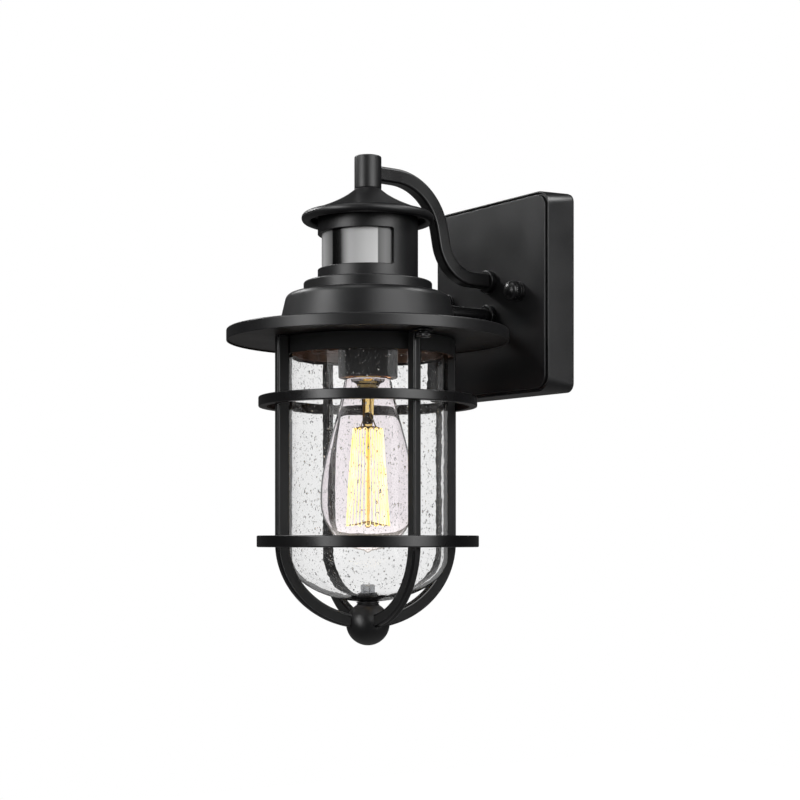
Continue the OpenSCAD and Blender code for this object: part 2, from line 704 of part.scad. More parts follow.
module leads() color("#e9e6e0") for (s = [-1, 1]) {
    wire([[block_x + block_l / 2 + 6 * s, block_lead_y, block_z + block_h],
          [block_x + block_l / 2 + 6 * s, block_lead_y, block_z + block_h + 6],
          [2 * s + 8, block_lead_y, -conduit_z - 3], [1.6 * s, conduit_back + 2, -conduit_z],
          [1.6 * s, -axis_out + conduit_end_s - 2, -conduit_z],
          [wire_hole_x + 1.3 * s, -axis_out + wire_hole_y + 1, -conduit_z],
          [wire_hole_x + 1.3 * s, -axis_out + wire_hole_y, board_z + 2.5],
          [wire_hole_x + 1.3 * s, -axis_out + board_y + board_t + wire_r, board_z + 2.5]], wire_r);
    wire([[-wire_hole_x + 1.3 * s, -axis_out + board_y + board_t + wire_r, board_z + 2.5],
          [-wire_hole_x + 1.3 * s, -axis_out + wire_hole_y, board_z + 2.5],
          [-wire_hole_x + 1.3 * s, -axis_out + wire_hole_y, dome_z + dome_h - 6],
          [1.6 * s, -axis_out + lead_y, bracket_top + 2],
          [1.6 * s, -axis_out + lead_y, core_top + wire_r]], wire_r);
}

// ---- Lamp ----

module bulb_contact() color("#b8bcc0") at_axis() translate([0, 0, lamp_top - lamp_contact_t])
    cylinder(r = 4.8, h = lamp_contact_t);

module bulb_cap() color("#c9a55c") at_axis() union() {
    translate([0, 0, lamp_cap_top]) rotate_extrude() polygon([[0, 0], [lamp_cap_r - 0.6, 0],
        [5.2, lamp_insulator_h - 0.1], [0, lamp_insulator_h - 0.1]]);
    translate([0, 0, lamp_cap_low]) tube(lamp_cap_r, lamp_cap_r - 0.5, lamp_cap_top - lamp_cap_low + weld);
}

// Outside of the lamp's glass from its neck to its tip, brought in by t
function lamp_line(t) = concat(
    [[lamp_cap_r - 0.5 - t, lamp_cap_low], [lamp_neck_r - 0.9 - t, lamp_cap_low - 1.8]],
    curve3([lamp_neck_r - t, lamp_cap_low - 6], [lamp_neck_r + 4 - t, lamp_cap_low - 30],
           [lamp_r - t, lamp_belly_z + 26], [lamp_r - t, lamp_belly_z], 12),
    arc([0, lamp_belly_z], lamp_r - t, lamp_belly - 1.5 - t, -7.5, -90, 11));

module bulb_glass() color("#d8dde0", 0.4) at_axis() union() {
    difference() {
        rotate_extrude() polygon(concat([[0, lamp_cap_low]], lamp_line(0)));
        rotate_extrude() polygon(concat([[0, lamp_cap_low - 1.2]],
            [for (p = lamp_line(lamp_t)) [max(p.x, 0), min(p.y, lamp_cap_low - 1.2)]]));
    }
    translate([0, 0, lamp_tip]) cylinder(r = 1.5, h = 2.2);
    translate([0, 0, filament_top + 2])
        cylinder(r1 = stem_r, r2 = 3 * stem_r, h = lamp_cap_low - 1 - filament_top - 2);
    translate([0, 0, filament_low]) cylinder(r = stem_r / 2, h = filament_h + 3);
}

// Zigzag of the filament between its upper and lower supports
function zigzag(n) = [for (i = [0 : 2 * n - 1])
    let (a = 180 * i / n, up = floor((i + 1) / 2) % 2 == 1, r = up ? filament_r_top : filament_r_foot)
    [r * cos(a), r * sin(a), up ? filament_top : filament_low]];

module filament() color("#ffc46b") at_axis() union() {
    wire(zigzag(8), 0.35);
    for (s = [-1, 1])
        wire([[s * stem_r * 0.8, 0, filament_top + 8], [s * filament_r_top, 0, filament_top]], 0.4);
}

// ---- Cage ----

module cage_bars() color("#171718") for (a = [RIGHT, BACK, LEFT, FRONT])
    at_axis() rotate([90, 0, cage_turn + a]) linear_extrude(bar_w, center = true) polygon(concat(
        [[bar_in_r, cage_top], [bar_out_r, cage_top]],
        arc([0, bowl_z], bar_out_r, bowl_h, 0, -acos(bar_end_r / bar_out_r), bend_steps),
        arc([0, bowl_z], bar_in_r, bowl_h - bar_d, -acos(bar_end_r / bar_in_r), 0, bend_steps)));

module ring(z, h, t) color("#1a1a1b") at_axis() translate([0, 0, z - h / 2]) rotate_extrude()
    polygon([[ring_in_r, 0], [ring_in_r + t - 0.6, 0], [ring_in_r + t, 0.6],
             [ring_in_r + t, h - 0.6], [ring_in_r + t - 0.6, h], [ring_in_r, h]]);

module fitter_collar() color("#151516") at_axis() translate([0, 0, cage_top - collar_h])
    tube(collar_r, collar_r - collar_t, collar_h);

module cage_ears() color("#171718") for (a = [RIGHT, LEFT]) at_angle(cage_turn + a, 0) difference() {
    union() {
        translate([bar_out_r - weld, -ear_w / 2, ear_z]) cube([thumb_out - bar_out_r, ear_w, ear_t]);
        translate([thumb_out, 0, ear_z]) cylinder(r = ear_w / 2, h = ear_t);
    }
    translate([thumb_out, 0, ear_z - 1]) cylinder(r = thumb_r + run, h = ear_t + 2);
    translate([0, 0, ear_z - 1]) cube([2 * bar_out_r, bar_w, ear_t + 4], center = true);
}

module ball_finial() color("#171718") difference() {
    at_axis() translate([0, 0, ball_z]) sphere(r = ball_r);
    cage_bars();
    at_axis() translate([0, 0, ball_z]) cylinder(r = finial_stud_r + pass, h = ball_r + 1);
}

module finial_stud() color("#c8c8c8") at_axis() translate([0, 0, ball_z])
    cylinder(r = finial_stud_r, h = finial_nut_z + finial_nut_h - 2.2 - ball_z);

module finial_washers() color("#141415") at_axis() {
    difference() {
        translate([0, 0, glass_low - neck_t]) tube(neck_r, finial_stud_r + pass, neck_t);
        translate([0, 0, ball_z]) sphere(r = ball_r);
    }
    translate([0, 0, inner_washer_z]) tube(finial_nut_r + 1.6, finial_stud_r + pass, inner_washer_t);
}

module finial_nut() color("#c9ccce") at_axis() translate([0, 0, finial_nut_z]) difference() {
    rotate_extrude() polygon(concat([[0, 0], [finial_nut_r, 0]],
        arc([finial_nut_r - finial_nut_edge, finial_nut_h - finial_nut_edge], finial_nut_edge,
            finial_nut_edge, 0, 90, 6), [[0, finial_nut_h]]));
    translate([0, 0, -1]) cylinder(r = finial_stud_r + pass, h = finial_nut_h - 2 + 1);
}

// ---- Glass ----

// Half section of the shade, brought in by t
function shade_line(t) = concat([[glass_r - t, glass_top]],
    arc([0, foot_z], glass_r - t, glass_foot - t, 0, -90, 16));

module glass_shade() color("#cfd6d8", 0.35) at_axis() difference() {
    rotate_extrude() polygon(concat([[0, glass_top]], shade_line(0)));
    rotate_extrude()
        polygon(concat([[0, glass_top + 1], [glass_r - glass_t, glass_top + 1]], shade_line(glass_t)));
    translate([0, 0, glass_low - 1]) cylinder(r = finial_stud_r + 1, h = glass_foot);
}

module glass_gasket() color("#3a3a3a") at_axis() union() {
    translate([0, 0, glass_top]) tube(collar_r - collar_t, glass_r - glass_t, cage_top - glass_top);
    translate([0, 0, glass_top - gasket_lip]) tube(collar_r - collar_t, glass_r, gasket_lip + weld);
}

// ---- Thumb screws ----

module thumb_washer(a) color("#c8c8c8") at_angle(cage_turn + a, thumb_out)
    translate([0, 0, thumb_washer_z]) tube(thumb_head_r - 0.5, thumb_r + run, thumb_washer_t);

module thumb_screw(a) color("#141415") at_angle(cage_turn + a, thumb_out) union() {
    translate([0, 0, thumb_head_z]) rotate_extrude() polygon(concat(
        arc([0, thumb_head_h * 0.6], thumb_head_r, thumb_head_h * 0.6, -90, 0, 8),
        [[thumb_head_r, thumb_head_h], [0, thumb_head_h]]));
    translate([0, 0, thumb_head_z + thumb_head_h - weld])
        cylinder(r = thumb_r, h = thumb_top - thumb_head_z - thumb_head_h + weld);
}

canopy();
canopy_gasket();
canopy_strap();
canopy_studs();
swivel_rivet();
ground_screw();
box_strap();
terminal_block();
nut_washer(1);  // nut_washer_right
cap_nut(1);  // cap_nut_right
nut_washer(-1);  // nut_washer_left
cap_nut(-1);  // cap_nut_left
s_arm();
arm_flange();
arm_screw();
conduit();
conduit_flange();
conduit_nut();
finial_post();
tie_rod();
rod_nuts();
roof_cap();
spacer_tube();
housing_lid();
sensor_housing();
sensor_lens();
sensor_board();
board_components();
motion_detector();
housing_seal();
plinth();
dome();
brim();
underplate();
weld_nuts();
socket_bracket();
socket_cover();
socket_core();
socket_shell();
socket_contact();
leads();
bulb_contact();
bulb_cap();
bulb_glass();
filament();
cage_bars();
ring(upper_z, upper_ring_h, upper_ring_t);  // upper_ring
ring(lower_z, lower_ring_h, lower_ring_t);  // lower_ring
fitter_collar();
cage_ears();
ball_finial();
finial_stud();
finial_washers();
finial_nut();
glass_shade();
glass_gasket();
thumb_washer(RIGHT);  // thumb_washer_right
thumb_screw(RIGHT);  // thumb_screw_right
thumb_washer(LEFT);  // thumb_washer_left
thumb_screw(LEFT);  // thumb_screw_left
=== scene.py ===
"""Outdoor wall lantern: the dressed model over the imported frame, its studio and its camera.

Sizes are millimetres in the frame's own axes: +Z up, +Y into the wall, the lantern's upright axis at AXIS.
"""
import sys
import logging
import math
import random
from dataclasses import dataclass, field
from enum import Enum
from typing import Any, Callable, Iterable, Mapping, Sequence

import bmesh
import bpy
from mathutils import Matrix, Quaternion, Vector


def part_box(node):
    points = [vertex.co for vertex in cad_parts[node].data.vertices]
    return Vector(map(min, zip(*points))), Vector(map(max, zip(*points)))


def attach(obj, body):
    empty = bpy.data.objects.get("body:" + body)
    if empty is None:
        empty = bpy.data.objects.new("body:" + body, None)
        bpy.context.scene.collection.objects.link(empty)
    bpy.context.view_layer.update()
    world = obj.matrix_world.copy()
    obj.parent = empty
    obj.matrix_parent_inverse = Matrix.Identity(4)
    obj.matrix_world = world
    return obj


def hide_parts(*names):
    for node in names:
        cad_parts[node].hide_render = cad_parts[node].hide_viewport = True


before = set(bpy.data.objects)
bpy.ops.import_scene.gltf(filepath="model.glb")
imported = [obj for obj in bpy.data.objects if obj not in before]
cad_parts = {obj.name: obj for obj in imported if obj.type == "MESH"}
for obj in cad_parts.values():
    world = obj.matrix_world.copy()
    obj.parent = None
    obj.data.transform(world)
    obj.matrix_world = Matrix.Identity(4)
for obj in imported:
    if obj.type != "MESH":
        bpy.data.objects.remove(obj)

LOG = logging.getLogger("lantern")
Point = tuple[float, float]
Corner = tuple[float, float, float]
Columns = list[list[bmesh.types.BMVert]]
Tree = bpy.types.NodeTree


def span(node: str) -> tuple[Vector, Vector]:
    """Gives a CAD node's box.

    Args:
        node: Name of the node.

    Returns:
        Its lowest and highest corner in millimetres.
    """
    low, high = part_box(node)
    return low * 1000, high * 1000


def axis_of(node: str) -> Vector:
    """Gives the upright axis of a round CAD node, in millimetres, at height 0."""
    low, high = span(node)
    return Vector(((low.x + high.x) / 2, (low.y + high.y) / 2, 0))


def radius_of(node: str) -> float:
    """Gives a round CAD node's radius, in millimetres."""
    low, high = span(node)
    return (high.x - low.x) / 2


AXIS = axis_of("brim")
ORIGIN = Vector((0, 0, 0))
CAGE_TURN = -7.0  # degrees that the cage is turned about the axis
ROD_HOLE_R = 4.1  # hole for the tie rod in each spun or moulded piece
THUMB_HOLE_R = 2.08  # hole for a thumb screw in an ear and in its washer
TINY = 1e-6


class Turn(Enum):
    """Places round the cage, in degrees from its first bar."""

    RIGHT = 0.0
    BACK = 90.0
    LEFT = 180.0
    FRONT = 270.0


class Side(Enum):
    """The two screws of a pair, with the sign of their place along X."""

    RIGHT = 1
    LEFT = -1


# ---------------------------------------------------------------- colour and nodes


def linear(colour: str) -> tuple[float, float, float, float]:
    """Turns an sRGB hex colour into linear light.

    Args:
        colour: Six hex digits after a hash sign.

    Returns:
        Red, green, blue and an alpha of 1.
    """
    parts = [int(colour[i:i + 2], 16) / 255 for i in (1, 3, 5)]
    red, green, blue = [c / 12.92 if c <= 0.04045 else ((c + 0.055) / 1.055) ** 2.4 for c in parts]
    return red, green, blue, 1.0


def add_node(tree: Tree, kind: str, settings: Mapping[str, Any] | None = None,
             sockets: Mapping[Any, Any] | None = None) -> bpy.types.Node:
    """Adds a node with its settings, its socket values and its links.

    Args:
        tree: The node tree it goes into.
        kind: Blender's name of the node type.
        settings: Properties of the node itself.
        sockets: Input name or number, to a value or to the output socket that feeds it.

    Returns:
        The new node.
    """
    node = tree.nodes.new(kind)
    for name, value in (settings or {}).items():
        setattr(node, name, value)
    for name, value in (sockets or {}).items():
        if isinstance(value, bpy.types.NodeSocket):
            tree.links.new(value, node.inputs[name])
        else:
            node.inputs[name].default_value = value
    return node


def new_material(name: str,
                 shader: Callable[[Tree, bpy.types.NodeSocket], bpy.types.Node]) -> bpy.types.Material:
    """Makes a node material.

    Args:
        name: The material's name.
        shader: Builds its surface, from the tree and the place on the object.

    Returns:
        The finished material.
    """
    material = bpy.data.materials.new(name)
    material.use_nodes = True
    tree = material.node_tree
    tree.nodes.clear()
    place = add_node(tree, "ShaderNodeTexCoord").outputs["Object"]
    add_node(tree, "ShaderNodeOutputMaterial", sockets={"Surface": shader(tree, place).outputs[0]})
    return material


def per_mm(size: float) -> float:
    """Scale of a texture in metres whose pattern repeats about every size millimetres."""
    return 1000.0 / size


def set_ramp(node: bpy.types.Node, stops: Sequence[tuple[float, str]]) -> None:
    """Sets a colour ramp's stops.

    Args:
        node: The ramp node.
        stops: Places from 0 to 1 with their hex colours.
    """
    ramp = node.color_ramp
    while len(ramp.elements) > 1:
        ramp.elements.remove(ramp.elements[-1])
    ramp.elements[0].position = stops[0][0]
    ramp.elements[0].color = linear(stops[0][1])
    for place, colour in stops[1:]:
        ramp.elements.new(place).color = linear(colour)


# ---------------------------------------------------------------- finishes


@dataclass(frozen=True)
class Finish:
    """What every finish has: the name of its material and the slot of the pieces that wear it."""

    name: str
    slot: str

    def shader(self, tree: Tree, place: bpy.types.NodeSocket) -> bpy.types.Node:
        """Builds the finish's surface.

        Args:
            tree: The node tree to build in.
            place: The place on the object, in metres.

        Returns:
            The surface's last node, whose first output is the shader.
        """
        raise NotImplementedError

    def build(self) -> bpy.types.Material:
        """Builds the finish's material."""
        return new_material(self.name, self.shader)


@dataclass(frozen=True)
class PowderCoat(Finish):
    """Black polyester powder coat baked on steel: a satin skin with a sandy grain and a soft orange peel."""

    slot: str = "black_coat"
    colour: str = "#060607"
    worn: str = "#0e0e0f"
    roughness: float = 0.29
    spread: float = 0.10
    grain_mm: float = 0.75
    grain_depth: float = 0.010
    peel_mm: float = 3.0
    peel_depth: float = 0.012
    cloud_mm: float = 26.0

    def shader(self, tree: Tree, place: bpy.types.NodeSocket) -> bpy.types.Node:
        """Builds the surface.

        Args:
            tree: The node tree to build in.
            place: The place on the object, in metres.

        Returns:
            The surface's last node.
        """
        # Sintered grains of the coat; the real ones are about 0.1 mm, drawn coarser so that they show.
        grain = add_node(tree, "ShaderNodeTexNoise", sockets={
            "Vector": place, "Scale": per_mm(self.grain_mm), "Detail": 3.0, "Roughness": 0.65})
        # Slow waves where the powder flowed together in the oven.
        peel = add_node(tree, "ShaderNodeTexNoise", sockets={
            "Vector": place, "Scale": per_mm(self.peel_mm), "Detail": 2.0, "Roughness": 0.5})
        cloud = add_node(tree, "ShaderNodeTexNoise", sockets={
            "Vector": place, "Scale": per_mm(self.cloud_mm), "Detail": 2.0})
        shade = add_node(tree, "ShaderNodeValToRGB", sockets={"Fac": grain.outputs["Fac"]})
        set_ramp(shade, [(0.35, self.colour), (0.75, self.worn)])
        rough = add_node(tree, "ShaderNodeMapRange", sockets={
            "Value": cloud.outputs["Fac"], "From Min": 0.3, "From Max": 0.7,
            "To Min": self.roughness - self.spread / 2, "To Max": self.roughness + self.spread / 2})
        low = add_node(tree, "ShaderNodeBump", sockets={
            "Height": peel.outputs["Fac"], "Strength": 1.0, "Distance": self.peel_depth / 1000})
        fine = add_node(tree, "ShaderNodeBump", sockets={
            "Height": grain.outputs["Fac"], "Strength": 1.0, "Distance": self.grain_depth / 1000,
            "Normal": low.outputs["Normal"]})
        return add_node(tree, "ShaderNodeBsdfPrincipled", sockets={
            "Base Color": shade.outputs["Color"], "Roughness": rough.outputs["Result"],
            "Normal": fine.outputs["Normal"], "IOR": 1.5, "Specular IOR Level": 0.5})


@dataclass(frozen=True)
class DrawnMetal(Finish):
    """A bare or plated metal: drawn, rolled or turned, with fine lines or a faint spangle in its gloss."""

    colour: str
    dark: str
    roughness: float
    line_mm: float = 0.4
    stretch: tuple[float, float, float] = (1.0, 1.0, 1.0)
    depth: float = 0.004
    stain_mm: float = 9.0

    def shader(self, tree: Tree, place: bpy.types.NodeSocket) -> bpy.types.Node:
        """Builds the surface.

        Args:
            tree: The node tree to build in.
            place: The place on the object, in metres.

        Returns:
            The surface's last node.
        """
        drawn = add_node(tree, "ShaderNodeMapping", sockets={"Vector": place, "Scale": self.stretch})
        # Tool or roll marks, stretched along the direction in which the metal was worked.
        marks = add_node(tree, "ShaderNodeTexNoise", sockets={
            "Vector": drawn.outputs["Vector"], "Scale": per_mm(self.line_mm), "Detail": 3.0})
        stain = add_node(tree, "ShaderNodeTexNoise", sockets={
            "Vector": place, "Scale": per_mm(self.stain_mm), "Detail": 3.0})
        shade = add_node(tree, "ShaderNodeValToRGB", sockets={"Fac": stain.outputs["Fac"]})
        set_ramp(shade, [(0.3, self.dark), (0.65, self.colour)])
        rough = add_node(tree, "ShaderNodeMapRange", sockets={
            "Value": marks.outputs["Fac"], "From Min": 0.25, "From Max": 0.75,
            "To Min": self.roughness * 0.75, "To Max": self.roughness * 1.3})
        bump = add_node(tree, "ShaderNodeBump", sockets={
            "Height": marks.outputs["Fac"], "Strength": 1.0, "Distance": self.depth / 1000})
        return add_node(tree, "ShaderNodeBsdfPrincipled", sockets={
            "Base Color": shade.outputs["Color"], "Metallic": 1.0, "Roughness": rough.outputs["Result"],
            "Normal": bump.outputs["Normal"]})


@dataclass(frozen=True)
class Moulded(Finish):
    """A moulded, fired or foamed non-metal: a body colour with a slight cloud, and a skin of its own."""

    colour: str
    second: str
    roughness: float
    skin_mm: float = 1.0
    skin_depth: float = 0.01
    ior: float = 1.5
    cells: bool = False
    cloud_mm: float = 7.0

    def shader(self, tree: Tree, place: bpy.types.NodeSocket) -> bpy.types.Node:
        """Builds the surface.

        Args:
            tree: The node tree to build in.
            place: The place on the object, in metres.

        Returns:
            The surface's last node.
        """
        cloud = add_node(tree, "ShaderNodeTexNoise", sockets={
            "Vector": place, "Scale": per_mm(self.cloud_mm), "Detail": 3.0})
        shade = add_node(tree, "ShaderNodeValToRGB", sockets={"Fac": cloud.outputs["Fac"]})
        set_ramp(shade, [(0.3, self.second), (0.7, self.colour)])
        if self.cells:
            # Open cells of the foam.
            skin = add_node(tree, "ShaderNodeTexVoronoi", sockets={
                "Vector": place, "Scale": per_mm(self.skin_mm)})
            height = skin.outputs["Distance"]
        else:
            # Texture of the mould, or of the glaze over the clay.
            skin = add_node(tree, "ShaderNodeTexNoise", sockets={
                "Vector": place, "Scale": per_mm(self.skin_mm), "Detail": 2.0})
            height = skin.outputs["Fac"]
        bump = add_node(tree, "ShaderNodeBump", sockets={
            "Height": height, "Strength": 1.0, "Distance": self.skin_depth / 1000})
        rough = add_node(tree, "ShaderNodeMapRange", sockets={
            "Value": height, "From Min": 0.2, "From Max": 0.8,
            "To Min": self.roughness * 0.9, "To Max": min(1.0, self.roughness * 1.12)})
        return add_node(tree, "ShaderNodeBsdfPrincipled", sockets={
            "Base Color": shade.outputs["Color"], "Roughness": rough.outputs["Result"],
            "Normal": bump.outputs["Normal"], "IOR": self.ior})


@dataclass(frozen=True)
class SensorLens(Finish):
    """Polyethylene lens of a motion detector: one moulded strip, glossy outside, in pale fields.

    A dark rib stands between two fields. Light and shade are painted into the fields by angle: painted
    highlight and shade across the pale fields, painted shade beside the rib, a darker end field that is
    painted shade, and ends painted down to near black.
    """

    name: str = "polyethylene_lens_painted_light"
    slot: str = "lens_plastic"
    rib_deg: tuple[float, float] = (7.0, 20.4)
    painted_shade_deg: float = 67.6
    roughness: float = 0.22
    gloss: float = 0.25
    groove_mm: float = 0.8
    groove_depth: float = 0.002

    def shader(self, tree: Tree, place: bpy.types.NodeSocket) -> bpy.types.Node:
        """Builds the surface.

        Args:
            tree: The node tree to build in.
            place: The place on the object, in metres.

        Returns:
            The surface's last node.
        """
        centred = add_node(tree, "ShaderNodeVectorMath", {"operation": "SUBTRACT"}, {
            0: place, 1: AXIS / 1000})
        parts = add_node(tree, "ShaderNodeSeparateXYZ", sockets={"Vector": centred.outputs["Vector"]})
        # Angle round the lens, 0 straight ahead and positive towards +X, so that the fields stay on the
        # moulding wherever it is seen from.
        front = add_node(tree, "ShaderNodeMath", {"operation": "MULTIPLY"}, {
            0: parts.outputs["Y"], 1: -1.0})
        angle = add_node(tree, "ShaderNodeMath", {"operation": "ARCTAN2"}, {
            0: parts.outputs["X"], 1: front.outputs["Value"]})
        share = add_node(tree, "ShaderNodeMapRange", sockets={
            "Value": angle.outputs["Value"], "From Min": -math.pi / 2, "From Max": math.pi / 2})
        shade = add_node(tree, "ShaderNodeValToRGB", sockets={"Fac": share.outputs["Result"]})

        def at(degrees: float) -> float:
            """Place of an angle on the ramp."""
            return (degrees + 90) / 180

        low, high = self.rib_deg
        # Painted light: these stops paint highlight and shade across the pale fields, shade beside the black
        # rib, a darker end field and near-black ends, fixed to the lens by angle.
        set_ramp(shade, [
            (0.0, "#8d8d8d"), (at(low - 22), "#a4a4a4"), (at(low - 1.2), "#5f5f5f"), (at(low), "#030303"),
            (at(high), "#030303"), (at(high + 1.0), "#343434"), (at(high + 5), "#666666"),
            (at(high + 11), "#8d8d8d"), (at(high + 22), "#a5a5a5"), (at(self.painted_shade_deg - 14), "#b4b4b4"),
            (at(self.painted_shade_deg - 0.6), "#bcbcbc"), (at(self.painted_shade_deg), "#434343"),
            (at(self.painted_shade_deg + 9), "#606060"), (at(84), "#585858"), (at(87), "#0c0c0c")])
        # Fresnel grooves are 0.2 mm apart on a real lens, drawn at 0.8 mm so that they show as a grain.
        grooves = add_node(tree, "ShaderNodeTexNoise", sockets={
            "Vector": place, "Scale": per_mm(self.groove_mm), "Detail": 2.0})
        bump = add_node(tree, "ShaderNodeBump", sockets={
            "Height": grooves.outputs["Fac"], "Strength": 1.0, "Distance": self.groove_depth / 1000})
        return add_node(tree, "ShaderNodeBsdfPrincipled", sockets={
            "Base Color": shade.outputs["Color"], "Roughness": self.roughness,
            "Normal": bump.outputs["Normal"], "IOR": 1.5, "Specular IOR Level": self.gloss})


@dataclass(frozen=True)
class Glass(Finish):
    """Blown soda-lime glass: clear, its wavy skin bends what is behind it, and the lamps shine through."""

    tint: str = "#fbfbfb"
    lamp_tint: str = "#f4f4f4"
    ior: float = 1.47
    wave_mm: float = 9.0
    wave_depth: float = 0.06
    air: bool = False
    gleam: float = 0.35
    gleam_roughness: float = 0.04
    # Strength of a painted glow: emission on the glass itself, which is no lamp.
    glow: float = 0.0
    painted_glow_at: tuple[float, float] = (0.0, 1.0)

    def shader(self, tree: Tree, place: bpy.types.NodeSocket) -> bpy.types.Node:
        """Builds the surface.

        Args:
            tree: The node tree to build in.
            place: The place on the object, in metres.

        Returns:
            The surface's last node.
        """
        # Waves of hand-blown glass, and finer cords in it.
        wave = add_node(tree, "ShaderNodeTexNoise", sockets={
            "Vector": place, "Scale": per_mm(self.wave_mm), "Detail": 2.0, "Roughness": 0.45})
        bump = add_node(tree, "ShaderNodeBump", sockets={
            "Height": wave.outputs["Fac"], "Strength": 1.0, "Distance": self.wave_depth / 1000})
        if self.air:
            # A bubble is air inside glass, so light bends the other way.
            body = add_node(tree, "ShaderNodeBsdfGlass", sockets={
                "Color": linear(self.tint), "Roughness": 0.0, "IOR": 1 / self.ior})
        else:
            bent = add_node(tree, "ShaderNodeBsdfRefraction", sockets={
                "Color": linear(self.tint), "Roughness": 0.0, "IOR": self.ior,
                "Normal": bump.outputs["Normal"]})
            mirrored = add_node(tree, "ShaderNodeBsdfGlossy", sockets={
                "Color": linear("#ffffff"), "Roughness": self.gleam_roughness,
                "Normal": bump.outputs["Normal"]})
            angle = add_node(tree, "ShaderNodeFresnel", sockets={
                "IOR": self.ior, "Normal": bump.outputs["Normal"]})
            # The skin mirrors only a part of what clean glass does, so that lamps leave no bright strips.
            share = add_node(tree, "ShaderNodeMath", {"operation": "MULTIPLY"}, {
                0: angle.outputs["Fac"], 1: self.gleam})
            body = add_node(tree, "ShaderNodeMixShader", sockets={
                0: share.outputs["Value"], 1: bent.outputs["BSDF"], 2: mirrored.outputs["BSDF"]})
        # Painted glow: the glass itself is given emission round the wire, though it is no lamp.
        if self.glow:
            body = self.add_painted_glow(tree, place, body)
        clear = add_node(tree, "ShaderNodeBsdfTransparent", sockets={"Color": linear(self.lamp_tint)})
        path = add_node(tree, "ShaderNodeLightPath")
        return add_node(tree, "ShaderNodeMixShader", sockets={
            0: path.outputs["Is Shadow Ray"], 1: body.outputs[0], 2: clear.outputs["BSDF"]})

    def add_painted_glow(self, tree: Tree, place: bpy.types.NodeSocket,
                        body: bpy.types.Node) -> bpy.types.Node:
        """Paints a glow onto the glass as emission, strongest level with the wire and fading above and
        below, in place of the wire's light seen in the glass.

        Args:
            tree: The node tree to build in.
            place: The place on the object, in metres.
            body: The shader of the plain glass.

        Returns:
            The shader with the painted glow.
        """
        up = add_node(tree, "ShaderNodeSeparateXYZ", sockets={"Vector": place})
        middle, reach = self.painted_glow_at
        away = add_node(tree, "ShaderNodeMath", {"operation": "SUBTRACT"}, {
            0: up.outputs["Z"], 1: middle / 1000})
        far = add_node(tree, "ShaderNodeMath", {"operation": "ABSOLUTE"}, {0: away.outputs["Value"]})
        fade = add_node(tree, "ShaderNodeMapRange", {"interpolation_type": "SMOOTHSTEP"}, {
            "Value": far.outputs["Value"], "From Min": 0.0, "From Max": reach / 1000,
            "To Min": self.glow, "To Max": 0.0})
        painted_haze = add_node(tree, "ShaderNodeEmission", sockets={
            "Color": linear("#fff6ea"), "Strength": fade.outputs["Result"]})
        return add_node(tree, "ShaderNodeAddShader", sockets={0: body.outputs[0], 1: painted_haze.outputs[0]})


@dataclass(frozen=True)
class HotWire(Finish):
    """Carbonised bamboo wire at full heat: an even yellow glow with paler patches."""

    name: str = "glowing_carbon_wire"
    slot: str = "hot_wire"
    cool: str = "#ffdc58"
    hot: str = "#fff4b4"
    strength: float = 2.2
    patch_mm: float = 12.0

    def shader(self, tree: Tree, place: bpy.types.NodeSocket) -> bpy.types.Node:
        """Builds the surface.

        Args:
            tree: The node tree to build in.
            place: The place on the object, in metres.

        Returns:
            The surface's last node.
        """
        # The heat is uneven along the wire, in patches of about 12 mm.
        patch = add_node(tree, "ShaderNodeTexNoise", sockets={
            "Vector": place, "Scale": per_mm(self.patch_mm), "Detail": 1.0})
        shade = add_node(tree, "ShaderNodeValToRGB", sockets={"Fac": patch.outputs["Fac"]})
        set_ramp(shade, [(0.35, self.cool), (0.65, self.hot)])
        return add_node(tree, "ShaderNodeBsdfPrincipled", sockets={
            "Base Color": linear("#3a2a10"), "Roughness": 0.6,
            "Emission Color": shade.outputs["Color"], "Emission Strength": self.strength})


SATIN = PowderCoat("satin_black_powder_coat")
GRAINED = PowderCoat("grained_black_powder_coat", roughness=0.40, grain_mm=0.9, grain_depth=0.024,
                     worn="#151517")
MATT = PowderCoat("matt_black_powder_coat", roughness=0.78, spread=0.06, worn="#0a0a0b")
TEXTURED = PowderCoat("textured_black_powder_coat", roughness=0.40, spread=0.08, grain_mm=0.6,
                      grain_depth=0.016, worn="#111113")
RUBBED = PowderCoat("rubbed_black_powder_coat", roughness=0.20, spread=0.06, grain_depth=0.004,
                    peel_depth=0.004)
DULL = PowderCoat("dull_black_powder_coat", roughness=0.5, grain_depth=0.014, colour="#1f1f20",
                  worn="#2b2b2c")
ZINC = DrawnMetal("zinc_plated_steel", "zinc_steel", "#b9bcc2", "#8f9298", 0.34, 0.9, (1.0, 1.0, 1.0), 0.004)
GREEN = DrawnMetal("green_dyed_steel", "green_screw", "#4f8f57", "#2f6238", 0.36)
BRASS = DrawnMetal("drawn_brass", "brass", "#d2a24c", "#a8772c", 0.24, 0.5, (1.0, 1.0, 0.2))
LEAD = DrawnMetal("soldered_tin", "lead_sheath", "#b4b6b8", "#8c8e90", 0.4, 0.8)
POLISHED = DrawnMetal("polished_stainless_steel", "polished_steel", "#dcdee0", "#c2c4c8", 0.14, 0.3,
                      (1.0, 1.0, 0.2), 0.002)
CAN = DrawnMetal("pressed_nickel_can", "detector_can", "#c4c6c8", "#9a9c9e", 0.28)
FOAM = Moulded("black_epdm_foam", "foam", "#232323", "#151515", 0.9, 0.7, 0.15, cells=True)
NYLON = Moulded("moulded_nylon", "block_plastic", "#ddd8ca", "#cdc7b6", 0.42, 1.2, 0.006)
CERAMIC = Moulded("glazed_porcelain", "ceramic", "#efebe1", "#e2dccd", 0.16, 2.5, 0.006, 1.54)
BOARD = Moulded("glass_epoxy_board", "board", "#2f6b3c", "#245532", 0.4, 0.5, 0.008)
